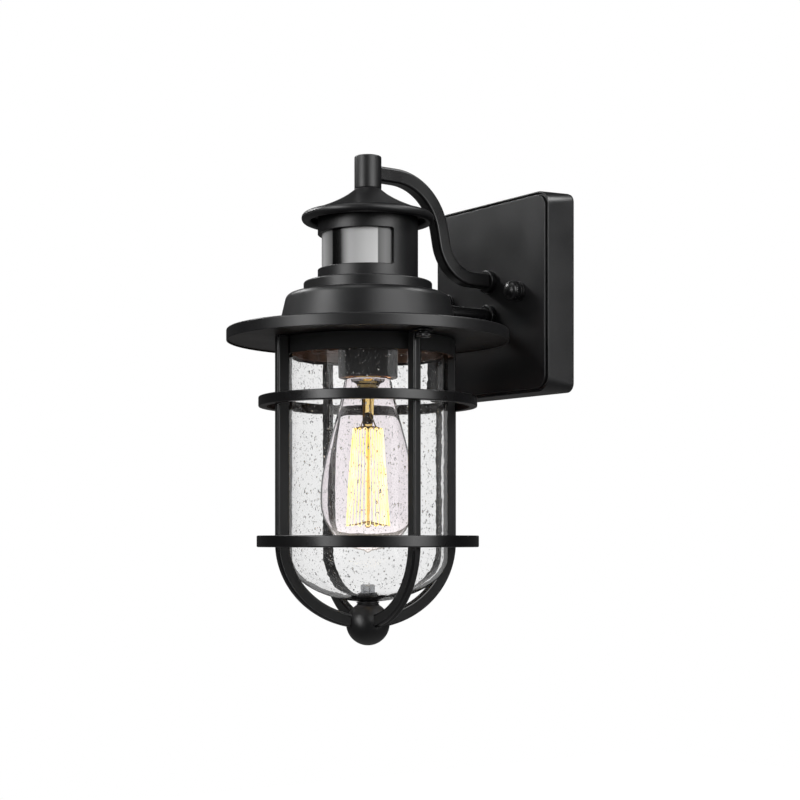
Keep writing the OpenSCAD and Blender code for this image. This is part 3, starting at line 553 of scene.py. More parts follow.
PARTS = Moulded("moulded_epoxy_parts", "components", "#34373c", "#24262a", 0.5, 0.8, 0.006)
SILICONE = Moulded("grey_silicone_rubber", "silicone", "#4b4b4c", "#3a3a3b", 0.62, 0.6, 0.006, 1.43)
LENS = SensorLens()
SEEDED = Glass("seeded_blown_glass", "seeded_glass")
SEED = Glass("air_seeds_in_glass", "seeded_glass", air=True)
# The lamp glass and its stem carry a painted glow, emission on the glass round the wire.
BULB = Glass("lamp_glass", "lamp_glass", tint="#fffdfe", ior=1.45, wave_mm=14.0, wave_depth=0.01,
             glow=0.34, painted_glow_at=(-205.0, 56.0))
FLARE = Glass("amber_stem_glass", "lamp_glass", tint="#fff0c4", ior=1.5, wave_mm=6.0, wave_depth=0.02,
              glow=0.06, painted_glow_at=(-202.0, 62.0))
HOT = HotWire()
SUPPORT = DrawnMetal("molybdenum_support_wire", "hot_wire", "#a8862f", "#5e4718", 0.3)

_built: dict[str, bpy.types.Material] = {}


def material_of(finish: Finish) -> bpy.types.Material:
    """Builds a finish once and gives the same material again afterwards.

    Args:
        finish: One of the finishes.

    Returns:
        Its material.
    """
    if finish.name not in _built:
        _built[finish.name] = finish.build()
    return _built[finish.name]


# ---------------------------------------------------------------- meshes


def soften(corners: Sequence[Corner], closed: bool = True, steps: int = 5) -> list[Point]:
    """Rounds each corner of a line by a radius of its own.

    Args:
        corners: Across, up and radius of each corner.
        closed: Whether the last corner joins the first.
        steps: Faces in each rounded corner.

    Returns:
        The rounded line's points.
    """
    line: list[Point] = []
    count = len(corners)
    for i, (x, y, radius) in enumerate(corners):
        here = Vector((x, y))
        ends = not closed and i in (0, count - 1)
        before = Vector(corners[i - 1][:2]) - here
        after = Vector(corners[(i + 1) % count][:2]) - here
        if radius <= 0 or ends or min(before.length, after.length) < TINY:
            line.append((x, y))
            continue
        angle = before.angle(after)
        if angle > math.pi - 0.03:  # as good as straight
            line.append((x, y))
            continue
        reach = min(radius / math.tan(angle / 2), before.length * 0.49, after.length * 0.49)
        start, end = here + before.normalized() * reach, here + after.normalized() * reach
        for k in range(steps + 1):
            t = k / steps
            spot = start * (1 - t) ** 2 + here * 2 * t * (1 - t) + end * t * t
            line.append((spot.x, spot.y))
    return line


def ring_line(inner: float, outer: float, low: float, high: float,
              radii: Sequence[float] = (0.0, 0.0, 0.0, 0.0), steps: int = 5) -> list[Point]:
    """Gives the rounded outline of a ring's cross-section.

    Args:
        inner: The ring's inner radius in millimetres.
        outer: Its outer radius.
        low: Height of its lower face.
        high: Height of its upper face.
        radii: How far the corners are rounded: lower inner, lower outer, upper outer, upper inner.
        steps: Faces in each rounded corner.

    Returns:
        The outline's points.
    """
    corners = ((inner, low), (outer, low), (outer, high), (inner, high))
    return soften([(x, z, radius) for (x, z), radius in zip(corners, radii)], steps=steps)


def arc(across: float, up: float, wide: float, tall: float, degrees: Iterable[float]) -> list[Point]:
    """Gives points on an ellipse.

    Args:
        across: Its middle, from the axis, in millimetres.
        up: The height of its middle.
        wide: Half of its width.
        tall: Half of its height, below 0 to run downwards.
        degrees: The points' angles, from level outwards.

    Returns:
        The points.
    """
    turns = [math.radians(a) for a in degrees]
    return [(across + wide * math.cos(a), up + tall * math.sin(a)) for a in turns]


def around(radius: float, angle: float, height: float) -> Vector:
    """Gives the point at a radius and an angle round the lantern's axis, and at a height."""
    return Vector((AXIS.x + radius * math.cos(angle), AXIS.y + radius * math.sin(angle), height))


def turned(line: Sequence[Point], centre: Vector | None = None, segments: int = 128, closed: bool = True,
           knurl: Callable[[float, float, float], float] | None = None) -> bmesh.types.BMesh:
    """Turns a line round an upright axis, as a lathe or a spinning mandrel does.

    Args:
        line: Radius and height of each point, in millimetres.
        centre: Where the axis stands, which is the lantern's own axis if it is not given.
        segments: Faces round the axis.
        closed: Whether the line's last point joins its first.
        knurl: Gives a new radius from radius, height and angle, for knurls and waves.

    Returns:
        The mesh, in metres.
    """
    middle = AXIS if centre is None else centre
    shape = bmesh.new()
    rings: list[list[bmesh.types.BMVert]] = []
    for radius, height in line:
        if radius < TINY:
            rings.append([shape.verts.new((middle.x / 1000, middle.y / 1000, height / 1000))])
            continue
        ring = []
        for k in range(segments):
            angle = 2 * math.pi * k / segments
            r = knurl(radius, height, angle) if knurl else radius
            ring.append(shape.verts.new(((middle.x + r * math.cos(angle)) / 1000,
                                         (middle.y + r * math.sin(angle)) / 1000, height / 1000)))
        rings.append(ring)
    pairs = list(zip(rings, rings[1:])) + ([(rings[-1], rings[0])] if closed else [])
    for low, high in pairs:
        if len(low) == 1 and len(high) == 1:
            continue
        for k in range(segments):
            n = (k + 1) % segments
            if len(low) == 1:
                shape.faces.new((low[0], high[n], high[k]))
            elif len(high) == 1:
                shape.faces.new((low[k], low[n], high[0]))
            else:
                shape.faces.new((low[k], low[n], high[n], high[k]))
    return shape


def lofted(rings: Sequence[Sequence[Vector]], looped: bool = False) -> bmesh.types.BMesh:
    """Skins rings that all have the same number of points.

    Args:
        rings: Closed rings of points, in millimetres.
        looped: Whether the last ring joins the first; if not, both get a flat face.

    Returns:
        The mesh, in metres.
    """
    shape = bmesh.new()
    made = [[shape.verts.new(p / 1000) for p in ring] for ring in rings]
    pairs = list(zip(made, made[1:])) + ([(made[-1], made[0])] if looped else [])
    for first, second in pairs:
        for k in range(len(first)):
            n = (k + 1) % len(first)
            shape.faces.new((first[k], first[n], second[n], second[k]))
    if not looped:
        shape.faces.new(made[0])
        shape.faces.new(made[-1])
    return shape


def rounded_box(width: float, height: float, radius: float, steps: int = 8) -> list[Point]:
    """Gives the outline of a rectangle with rounded corners, centred on 0.

    Args:
        width: Its width in millimetres.
        height: Its height.
        radius: Radius of its corners.
        steps: Faces in each corner.

    Returns:
        Its points, as many for every size.
    """
    line: list[Point] = []
    for cx, cy, start in ((1, 1, 0), (-1, 1, 90), (-1, -1, 180), (1, -1, 270)):
        for k in range(steps + 1):
            a = math.radians(start + 90 * k / steps)
            line.append((cx * (width / 2 - radius) + radius * math.cos(a),
                         cy * (height / 2 - radius) + radius * math.sin(a)))
    return line


def joined(shapes: Sequence[bmesh.types.BMesh]) -> bmesh.types.BMesh:
    """Puts several meshes into the first one.

    Args:
        shapes: The meshes; all but the first are used up.

    Returns:
        The first mesh, with everything in it.
    """
    first = shapes[0]
    for other in shapes[1:]:
        scratch = bpy.data.meshes.new("scratch")
        other.to_mesh(scratch)
        other.free()
        first.from_mesh(scratch)
        bpy.data.meshes.remove(scratch)
    return first


def rod(points: Sequence[Vector], radius: float, sides: int = 10) -> bmesh.types.BMesh:
    """A round wire along points.

    Args:
        points: The wire's path, in millimetres.
        radius: Its radius in millimetres.
        sides: Faces round it.

    Returns:
        The mesh, in metres.
    """
    rings: list[list[Vector]] = []
    across: Vector | None = None
    for i, point in enumerate(points):
        ahead = (points[min(i + 1, len(points) - 1)] - points[max(i - 1, 0)]).normalized()
        if across is None:
            across = ahead.orthogonal().normalized()
        across = (across - ahead * across.dot(ahead)).normalized()
        over = ahead.cross(across)
        rings.append([point + radius * (across * math.cos(2 * math.pi * k / sides)
                                        + over * math.sin(2 * math.pi * k / sides)) for k in range(sides)])
    return lofted(rings)


def threaded(radius: float, pitch: float, low: float, high: float, depth: float,
             sides: int = 28, per_turn: int = 4) -> bmesh.types.BMesh:
    """A rod with a V thread, as rings whose radius rises and falls round a helix, from low to high on +Z.

    Args:
        radius: Outer radius in millimetres.
        pitch: Rise of the thread in one turn.
        low: Height of the lower end.
        high: Height of the upper end.
        depth: Depth of the thread.
        sides: Faces round the rod.
        per_turn: Rings in one pitch.

    Returns:
        The mesh about the origin, in metres.
    """
    count = max(2, int((high - low) / pitch * per_turn) + 1)
    rings = []
    for i in range(count + 1):
        z = low + (high - low) * i / count
        ease = min(1.0, (z - low) / pitch, (high - z) / pitch)
        ring = []
        for k in range(sides):
            a = 2 * math.pi * k / sides
            phase = (z / pitch - k / sides) % 1.0
            r = radius - depth * (1 - ease) - depth * ease * abs(2 * phase - 1)
            ring.append(Vector((r * math.cos(a), r * math.sin(a), z)))
        rings.append(ring)
    return lofted(rings)


def knurling(edge: float, low: float, high: float, grooves: int,
             deep: float) -> Callable[[float, float, float], float]:
    """Makes a straight knurl for turned().

    Args:
        edge: Radius in millimetres from which outwards it is cut.
        low: Height where it starts.
        high: Height where it ends.
        grooves: Grooves all round.
        deep: Their depth in millimetres.

    Returns:
        A function from radius, height and angle to the radius that is left.
    """
    def cut(radius: float, height: float, angle: float) -> float:
        """Gives the radius that is left at a point."""
        inside = radius >= edge and low < height < high
        return radius - deep * (0.5 + 0.5 * math.cos(grooves * angle)) if inside else radius

    return cut


def moved(shape: bmesh.types.BMesh, place: Vector, tilt: Matrix | None = None) -> bmesh.types.BMesh:
    """Turns a mesh about the origin, then moves it.

    Args:
        shape: The mesh.
        place: Where its origin goes, in millimetres.
        tilt: A turn that is made first.

    Returns:
        The same mesh.
    """
    matrix = Matrix.Translation(place / 1000) @ (tilt or Matrix.Identity(4))
    bmesh.ops.transform(shape, matrix=matrix, verts=shape.verts)
    return shape


def add_object(name: str, data: bpy.types.ID) -> bpy.types.Object:
    """Adds an object to the scene.

    Args:
        name: Its name.
        data: Its mesh, light or camera.

    Returns:
        The new object.
    """
    made = bpy.data.objects.new(name, data)
    bpy.context.scene.collection.objects.link(made)
    return made


def place_piece(name: str, shape: bmesh.types.BMesh, body: str, finish: Finish,
                stands_for: Sequence[str] = (), sharp: float = 38.0) -> bpy.types.Object:
    """Makes a piece from a mesh, dresses it and hangs it on its body.

    Args:
        name: The piece's name.
        shape: Its mesh, which is used up.
        body: The body it rides on.
        finish: Its finish.
        stands_for: CAD nodes it replaces.
        sharp: Edges sharper than this many degrees stay crisp.

    Returns:
        The new piece.
    """
    bmesh.ops.recalc_face_normals(shape, faces=shape.faces)
    mesh = bpy.data.meshes.new(name)
    shape.to_mesh(mesh)
    shape.free()
    mesh.polygons.foreach_set("use_smooth", [True] * len(mesh.polygons))
    mesh.set_sharp_from_angle(angle=math.radians(sharp))
    mesh.materials.append(material_of(finish))
    piece = add_object(name, mesh)
    even = piece.modifiers.new("even_normals", "WEIGHTED_NORMAL")
    even.keep_sharp = True
    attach(piece, body)
    if stands_for:
        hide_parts(*stands_for)
    LOG.info("%s: %d faces on %s, %s", name, len(mesh.polygons), body, finish.name)
    return piece


def round_edges(piece: bpy.types.Object, width: float, degrees: float) -> None:
    """Rounds a piece's sharp edges, before its normals are evened.

    Args:
        piece: The piece.
        width: Width of the rounding in millimetres.
        degrees: Edges sharper than this are rounded.
    """
    edges = piece.modifiers.new("rounded_edges", "BEVEL")
    edges.width, edges.segments = width / 1000, 2
    edges.limit_method, edges.angle_limit = "ANGLE", math.radians(degrees)
    piece.modifiers.move(1, 0)


def edge_wear(piece: bpy.types.Object, finish: Finish, width: float) -> None:
    """Gives a piece's narrow bevel faces a second finish, as where hands and cloths rub a coat smooth.

    Args:
        piece: The piece.
        finish: The finish of its bevels.
        width: Faces narrower than this, in mm, are bevels.
    """
    mesh = piece.data
    mesh.materials.append(material_of(finish))
    for face in mesh.polygons:
        lengths = [(mesh.vertices[a].co - mesh.vertices[b].co).length for a, b in face.edge_keys]
        if min(lengths) * 1000 < width:
            face.material_index = 1


def dress(finish: Finish, *nodes: str) -> None:
    """Gives carried-over CAD nodes their finish.

    Args:
        finish: The finish.
        nodes: The nodes' names.
    """
    for name in nodes:
        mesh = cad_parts[name].data
        mesh.materials.clear()
        mesh.materials.append(material_of(finish))
        LOG.info("%s: CAD node, %s", name, finish.name)


def on_wall(shape: bmesh.types.BMesh, x: float, z: float) -> bmesh.types.BMesh:
    """Lays a mesh that was turned about +Z down so that +Z points away from the wall, along -Y."""
    return moved(shape, Vector((x, 0, z)), Matrix.Rotation(math.radians(90), 4, "X"))


# ---------------------------------------------------------------- canopy


@dataclass
class Canopy:
    """Pressed steel canopy with a raised front panel, and the fixings inside it."""

    corner: float = 11.0
    wall_corner: float = 6.5
    wall: float = 1.5
    step_in: float = 2.5
    step_out: float = 1.2
    gap: float = 1.4
    gap_deep: float = 1.1
    panel_in: float = 14.0
    lip: float = 1.3
    fold_deep: float = 2.6
    stud_r: float = 2.08
    stud_pitch: float = 0.79375
    thread_deep: float = 0.3

    def shell(self) -> None:
        """Builds the canopy as one skin from its front panel over the rim to its inside."""
        low, high = span("canopy")
        width, height = high.x - low.x, high.z - low.z
        middle = (low.z + high.z) / 2
        front, back = low.y, high.y
        side = front + self.step_out
        seam, trough, fold = self.step_in - self.gap, side + self.gap_deep, side + self.fold_deep
        inside, under = self.step_in + self.lip, side + self.wall
        # Inset from the outline and place along the wall's normal, from the panel outwards and back inside.
        skin = soften([
            (self.panel_in, front, 0), (self.step_in + 0.1, front, 0.5), (self.step_in, trough, 0.15),
            (seam, trough, 0.15), (seam, side, 0.3), (0.0, side, 0.9),
            (0.0, back, 0.3), (self.wall, back, 0.3), (self.wall, fold, 0.3),
            (inside, fold, 0.5), (inside, under, 0.5), (self.panel_in, under, 0)], closed=False)
        rings = []
        for inset, y in skin:
            depth = min(1.0, max(0.0, (y - side) / (back - side)))
            corner = self.corner + (self.wall_corner - self.corner) * depth
            outline = rounded_box(width - 2 * inset, height - 2 * inset, max(corner - inset, 0.6), 10)
            rings.append([Vector((x, y, middle + z)) for x, z in outline])
        place_piece("canopy_shell", lofted(rings), "root", GRAINED, ["canopy"], 30)

    def studs(self) -> None:
        """Builds the two threaded studs."""
        low, high = span("canopy_studs")
        z = (low.z + high.z) / 2
        both = [on_wall(threaded(self.stud_r, self.stud_pitch, -high.y, -low.y, self.thread_deep), x, z)
                for x in (low.x + self.stud_r, high.x - self.stud_r)]
        place_piece("canopy_threaded_studs", joined(both), "root", ZINC, ["canopy_studs"])

    def build(self) -> None:
        """Builds and dresses the whole canopy."""
        self.shell()
        self.studs()
        dress(FOAM, "canopy_gasket")
        dress(ZINC, "canopy_strap", "box_strap", "swivel_rivet", "arm_screw", "conduit_nut")
        dress(GREEN, "ground_screw")
        dress(NYLON, "terminal_block")


@dataclass
class CapNut:
    """Barrel cap nut with a knurled band and a domed end, on a plain washer."""

    side: Side
    bore: float = 2.16
    waist: float = 0.45
    knurls: int = 30
    knurl_deep: float = 0.28

    def build(self) -> None:
        """Builds the nut and its washer."""
        name = self.side.name.lower()
        low, high = span(f"cap_nut_{name}")
        x, z = (low.x + high.x) / 2, (low.z + high.z) / 2
        r = (high.x - low.x) / 2
        mouth, tip = -high.y, -low.y
        length = tip - mouth
        bore = self.bore
        # The grooves run between two plain bands of the barrel.
        knurl = knurling(r * 0.93, mouth + length * 0.16, mouth + length * 0.50, self.knurls,
                         self.knurl_deep)
        dome = arc(0.0, mouth + length * 0.60, r, length * 0.40, range(9, 91, 9))
        outer = soften([
            (bore, mouth, 0), (r - 0.5, mouth, 0), (r - 0.05, mouth + 0.5, 0.3),
            (r - 0.05, mouth + 1.5, 0.3), (r - 0.9, mouth + 1.9, 0.3), (r - 0.9, mouth + 2.3, 0.2)],
            closed=False, steps=3)
        band = [(r - 0.1, mouth + length * f) for f in (0.17, 0.20, 0.25, 0.35, 0.45, 0.49)]
        neck = [(r - self.waist, mouth + length * 0.515), (r - self.waist, mouth + length * 0.555),
                (r - 0.08, mouth + length * 0.58)]
        inner = [(0.0, mouth + 8.0), (bore - 0.3, mouth + 7.7), (bore, mouth + 7.2)]
        shape = turned(outer + band + neck + dome[:-1] + [(0.0, tip)] + inner, ORIGIN, 120, knurl=knurl)
        place_piece(f"cap_nut_knurled_{name}", on_wall(shape, x, z), f"nut_{name}", SATIN,
                    [f"cap_nut_{name}"])
        node = f"nut_washer_{name}"
        low, high = span(node)
        disc = ring_line(bore, radius_of(node), -high.y, -low.y, (0.15, 0.2, 0.35, 0.2), 3)
        place_piece(f"nut_washer_turned_{name}", on_wall(turned(disc, ORIGIN, 64), x, z),
                    f"nut_slide_{name}", SATIN, [node])


# ---------------------------------------------------------------- arm


@dataclass
class Arm:
    """S-shaped arm of square bar, with the straight conduit under it and their two flanges."""

    width: float = 10.0
    edge: float = 1.7
    lead: float = 12.2
    bend_1: float = 39.5
    bend_2: float = 27.5
    turn: float = 79.0
    middle: float = 10.0
    post_r: float = 9.13
    sunk: float = 3.5
    conduit_r: float = 5.0
    conduit_wall: float = 1.0

    def centre_line(self) -> list[tuple[Vector, Vector]]:
        """Walks the arm's middle line, from inside the finial post to the wall.

        Returns:
            Points behind the axis and up, each with the outward normal there.
        """
        high = span("s_arm")[1]
        top = high.z - self.width / 2
        t = math.radians(self.turn)
        line = [(Vector((self.post_r - self.sunk, top)), Vector((0, 1)))]
        start = Vector((self.post_r + self.lead, top))
        for k in range(33):
            a = t * k / 32
            normal = Vector((math.sin(a), math.cos(a)))
            line.append((start + Vector((0, -self.bend_1)) + self.bend_1 * normal, normal))
        end = line[-1][0] + self.middle * Vector((math.cos(t), -math.sin(t)))
        centre = end + self.bend_2 * Vector((math.sin(t), math.cos(t)))
        for k in range(25):
            a = t * (1 - k / 24)
            normal = Vector((math.sin(a), math.cos(a)))
            line.append((centre - self.bend_2 * normal, normal))
        line.append((Vector((high.y - AXIS.y, line[-1][0].y)), Vector((0, 1))))
        return line

    def bar(self) -> None:
        """Builds the bent bar with its rounded edges."""
        section = rounded_box(self.width, self.width, self.edge, 5)
        rings = []
        for spot, normal in self.centre_line():
            rings.append([Vector((across, AXIS.y + spot.x + normal.x * up, spot.y + normal.y * up))
                          for across, up in section])
        place_piece("s_arm_bent_bar", lofted(rings), "root", SATIN, ["s_arm"])

    def conduit(self) -> None:
        """Builds the conduit and both flanges."""
        low, high = span("conduit")
        z = (low.z + high.z) / 2
        r = self.conduit_r
        tube = ring_line(r - self.conduit_wall, r, -high.y, -low.y, (0.2, 0.2, 0.2, 0.2))
        place_piece("conduit_tube", on_wall(turned(tube, ORIGIN, 64), 0, z), "root", SATIN, ["conduit"])
        for node, bore in (("conduit_flange", r + 0.1), ("arm_flange", 1.0)):
            low, high = span(node)
            ring = ring_line(bore, radius_of(node), -high.y, -low.y, (0, 0.1, 0.9, 0.2))
            shape = on_wall(turned(ring, ORIGIN, 96), 0, (low.z + high.z) / 2)
            place_piece(f"{node}_turned", shape, "root", SATIN, [node])

    def build(self) -> None:
        """Builds the arm and the conduit."""
        self.bar()
        self.conduit()


# ---------------------------------------------------------------- crown


@dataclass
class Crown:
    """Finial post, roof cap, plinth, dome and brim: turned bar and spun steel on one axis."""

    post_r: float = 9.13
    sheet: float = 1.2
    wall: float = 1.5
    bead: float = 3.15
    dome_top_r: float = 54.7
    dome_foot_r: float = 59.3
    shoulder: float = 5.0
    flat_r: float = 59.8
    edge: float = 7.7
    seat: float = 5.5

    def post(self) -> None:
        """Builds the finial post."""
        low, high = span("finial_post")
        r = self.post_r
        line = soften([(0, low.z, 0), (r - 0.35, low.z, 0.1), (r, low.z + 0.5, 0.2), (r, high.z, 1.1),
                       (0, high.z, 0)], closed=False)
        place_piece("finial_post_turned", turned(line, segments=96), "root", TEXTURED, ["finial_post"])

    def roof(self) -> None:
        """Builds the roof cap with its rolled bead, open underneath."""
        low, high = span("roof_cap")
        top, out = high.z, high.x - AXIS.x
        bead = self.bead
        middle_r, middle_z = out - bead, low.z + bead
        # The skirt falls away from the post in one curve and ends on top of the bead.
        p, q, r = (Vector((self.post_r, top - 0.3)), Vector((self.post_r + 8.7, top - 8.5)),
                   Vector((middle_r - 0.6, low.z + 2 * bead + 0.05)))
        skirt = [tuple(p * (1 - t) ** 2 + q * 2 * t * (1 - t) + r * t * t)
                 for t in [k / 20 for k in range(21)]]
        roll = [(middle_r + bead * math.sin(math.radians(a)), middle_z + bead * math.cos(math.radians(a)))
                for a in range(0, 261, 10)]
        under = [(x - 0.3, z - self.sheet) for x, z in reversed(skirt[3:-1])]
        line = ([(0, top), (self.post_r - 0.2, top)] + skirt[:-1] + roll + under
                + [(self.post_r - self.sheet, top - self.sheet), (0, top - self.sheet)])
        shape = turned(line, closed=False, segments=160)
        place_piece("roof_cap_spun", shape, "root", TEXTURED, ["roof_cap"], 50)

    def plinth(self) -> None:
        """Builds the stepped plinth under the sensor."""
        low, high = span("plinth")
        r, wall = high.x - AXIS.x, self.wall
        line = soften([(ROD_HOLE_R, high.z, 0), (r, high.z, 1.3), (r, low.z, 0.25), (r - wall, low.z, 0.2),
                       (r - wall, high.z - wall, 0.6), (ROD_HOLE_R, high.z - wall, 0)])
        place_piece("plinth_spun", turned(line, segments=160), "root", TEXTURED, ["plinth"])

    def dome(self) -> None:
        """Builds the dome with its rounded shoulder."""
        low, high = span("dome")
        top_r, foot_r, wall = self.dome_top_r, self.dome_foot_r, self.wall
        line = soften([(ROD_HOLE_R, high.z, 0), (top_r, high.z, self.shoulder + 0.6), (foot_r, low.z, 0.15),
                       (foot_r - wall, low.z, 0.1), (top_r - wall, high.z - wall, self.shoulder),
                       (ROD_HOLE_R, high.z - wall, 0)], steps=8)
        place_piece("dome_spun", turned(line, segments=160), "root", TEXTURED, ["dome"])

    def brim(self) -> None:
        """Builds the brim with its turned-down edge."""
        low, high = span("brim")
        r = high.x - AXIS.x
        hole = self.dome_foot_r - self.seat
        turn_z = low.z + self.edge
        line = soften([
            (hole, high.z, 0.1), (self.flat_r, high.z, 1.5), (r, turn_z, 1.3), (r, low.z, 0.5),
            (r - self.sheet, low.z, 0.3), (r - self.sheet, turn_z - self.sheet, 0.5),
            (self.flat_r, high.z - self.sheet, 0), (hole, high.z - self.sheet, 0.1)])
        place_piece("brim_spun", turned(line, segments=192), "root", TEXTURED, ["brim"])

    def build(self) -> None:
        """Builds and dresses the crown."""
        self.post()
        self.roof()
        self.plinth()
        self.dome()
        self.brim()
        dress(GRAINED, "underplate")
        dress(SATIN, "housing_lid")
        dress(ZINC, "tie_rod", "rod_nuts", "spacer_tube", "weld_nuts", "socket_bracket")
        dress(SILICONE, "housing_seal")


# ---------------------------------------------------------------- sensor


@dataclass
class Sensor:
    """Moulded sensor housing with its window, the lens behind it, and the board inside."""

    wall: float = 2.6
    sill: float = 8.0
    window_h: float = 23.7
    window_deg: float = 178.0
    middle_deg: float = -93.0
    corner: float = 2.0
    lens_r: float = 31.1
    lens_t: float = 1.4
    lap_deg: float = 3.0

    def housing(self) -> None:
        """Builds the housing as a shell whose window has rounded corners."""
        low, high = span("sensor_housing")
        radius = high.x - AXIS.x
        z0, z1 = low.z, high.z
        w0, w1 = z0 + self.sill, z0 + self.sill + self.window_h
        half = math.radians(self.window_deg / 2)
        middle = math.radians(self.middle_deg)
        c = self.corner
        columns = 60
        # Columns of faces over the window, closer together at its rounded corners.
        c_a = c / radius
        fine = [c_a * (1 - math.cos(math.radians(15 * k))) for k in range(6)]
        angles = [-half + 2 * half * k / columns for k in range(columns + 1)]
        angles = [-half + c_a] + [a for a in angles if -half + c_a < a < half - c_a] + [half - c_a]
        across = [-half + f for f in fine] + angles + [half - f for f in reversed(fine)]

        def drop(angle: float) -> float:
            """Gives how far the rounded corner reaches from the window's top or sill at an angle."""
            short = max(0.0, c_a - (half - abs(angle)))
            return c * (1 - math.sqrt(max(0.0, 1 - (short / c_a) ** 2)))

        back_angles = [half + (2 * math.pi - 2 * half) * k / 64 for k in range(65)]
        shape = bmesh.new()

        def skin(r: float) -> tuple[Columns, Columns]:
            """Builds one face of the shell, round its window.

            Args:
                r: Its radius in millimetres.

            Returns:
                The columns of points across the window and those behind it.
            """
            def vert(angle: float, z: float) -> bmesh.types.BMVert:
                """Adds a point of the skin."""
                return shape.verts.new(((AXIS.x + r * math.cos(middle + angle)) / 1000,
                                        (AXIS.y + r * math.sin(middle + angle)) / 1000, z / 1000))
            front = [[vert(a, z) for z in (z0, w0 + drop(a), w1 - drop(a), z1)] for a in across]
            back = [[vert(a, z) for z in (z0, w0 + c, w1 - c, z1)] for a in back_angles[1:-1]]
            back = [front[-1]] + back + [front[0]]
            for one, two in zip(front, front[1:]):
                shape.faces.new((one[0], two[0], two[1], one[1]))
                shape.faces.new((one[2], two[2], two[3], one[3]))
            for one, two in zip(back, back[1:]):
                for k in range(3):
                    shape.faces.new((one[k], two[k], two[k + 1], one[k + 1]))
            return front, back

        outer, outer_back = skin(radius)
        inner, inner_back = skin(radius - self.wall)
        for one, two, three, four in zip(outer, outer[1:], inner, inner[1:]):
            shape.faces.new((one[1], two[1], four[1], three[1]))
            shape.faces.new((one[2], two[2], four[2], three[2]))
        for near, far in ((outer[0], inner[0]), (outer[-1], inner[-1])):
            shape.faces.new((near[1], near[2], far[2], far[1]))
        for row in (0, 3):
            for near, far in ((outer, inner), (outer_back, inner_back)):
                for one, two, three, four in zip(near, near[1:], far, far[1:]):
                    shape.faces.new((one[row], two[row], four[row], three[row]))
        floor = ring_line(ROD_HOLE_R, radius - self.wall + 0.3, z0 + 0.02, z0 + self.wall)
        whole = joined([shape, turned(floor, segments=96)])
        piece = place_piece("sensor_housing_moulded", whole, "root", TEXTURED, ["sensor_housing"], 30)
        round_edges(piece, 0.35, 40)

    def lens(self) -> None:
        """Builds the lens strip."""
        low, high = span("sensor_lens")
        r = self.lens_r
        half = math.radians(self.window_deg / 2 + self.lap_deg)
        middle = math.radians(self.middle_deg)
        section = ring_line(r - self.lens_t, r, low.z, high.z, (0.1, 0.2, 0.2, 0.1), 2)
        rings = []
        for k in range(91):
            a = middle - half + 2 * half * k / 90
            rings.append([around(p, a, z) for p, z in section])
        place_piece("sensor_lens_moulded", lofted(rings), "root", LENS, ["sensor_lens"])

    def build(self) -> None:
        """Builds and dresses the sensor."""
        self.housing()
        self.lens()
        dress(BOARD, "sensor_board")
        dress(PARTS, "board_components")
        dress(CAN, "motion_detector")
        dress(LEAD, "leads")


# ---------------------------------------------------------------- lamp


@dataclass
class Socket:
    """Socket cover with the porcelain core and its brass contacts."""

    radius: float = 20.0
    wall: float = 1.4
    foot: float = 1.2
    foot_wide: float = 3.0

    def build(self) -> None:
        """Builds the cover and dresses what is inside."""
        low, high = span("socket_cover")
        r, hem, sill = self.radius, self.radius - self.foot_wide, low.z + self.foot
        line = soften([
            (ROD_HOLE_R, high.z, 0), (r, high.z, 2.4), (r, low.z, 0.9), (hem, low.z, 0.3), (hem, sill, 0.2),
            (r - self.wall, sill, 0.2), (r - self.wall, high.z - self.wall, 1.0),
            (ROD_HOLE_R, high.z - self.wall, 0)])
        place_piece("socket_cover_drawn", turned(line, segments=128), "root", DULL, ["socket_cover"])
        dress(CERAMIC, "socket_core")
        dress(BRASS, "socket_shell", "socket_contact")


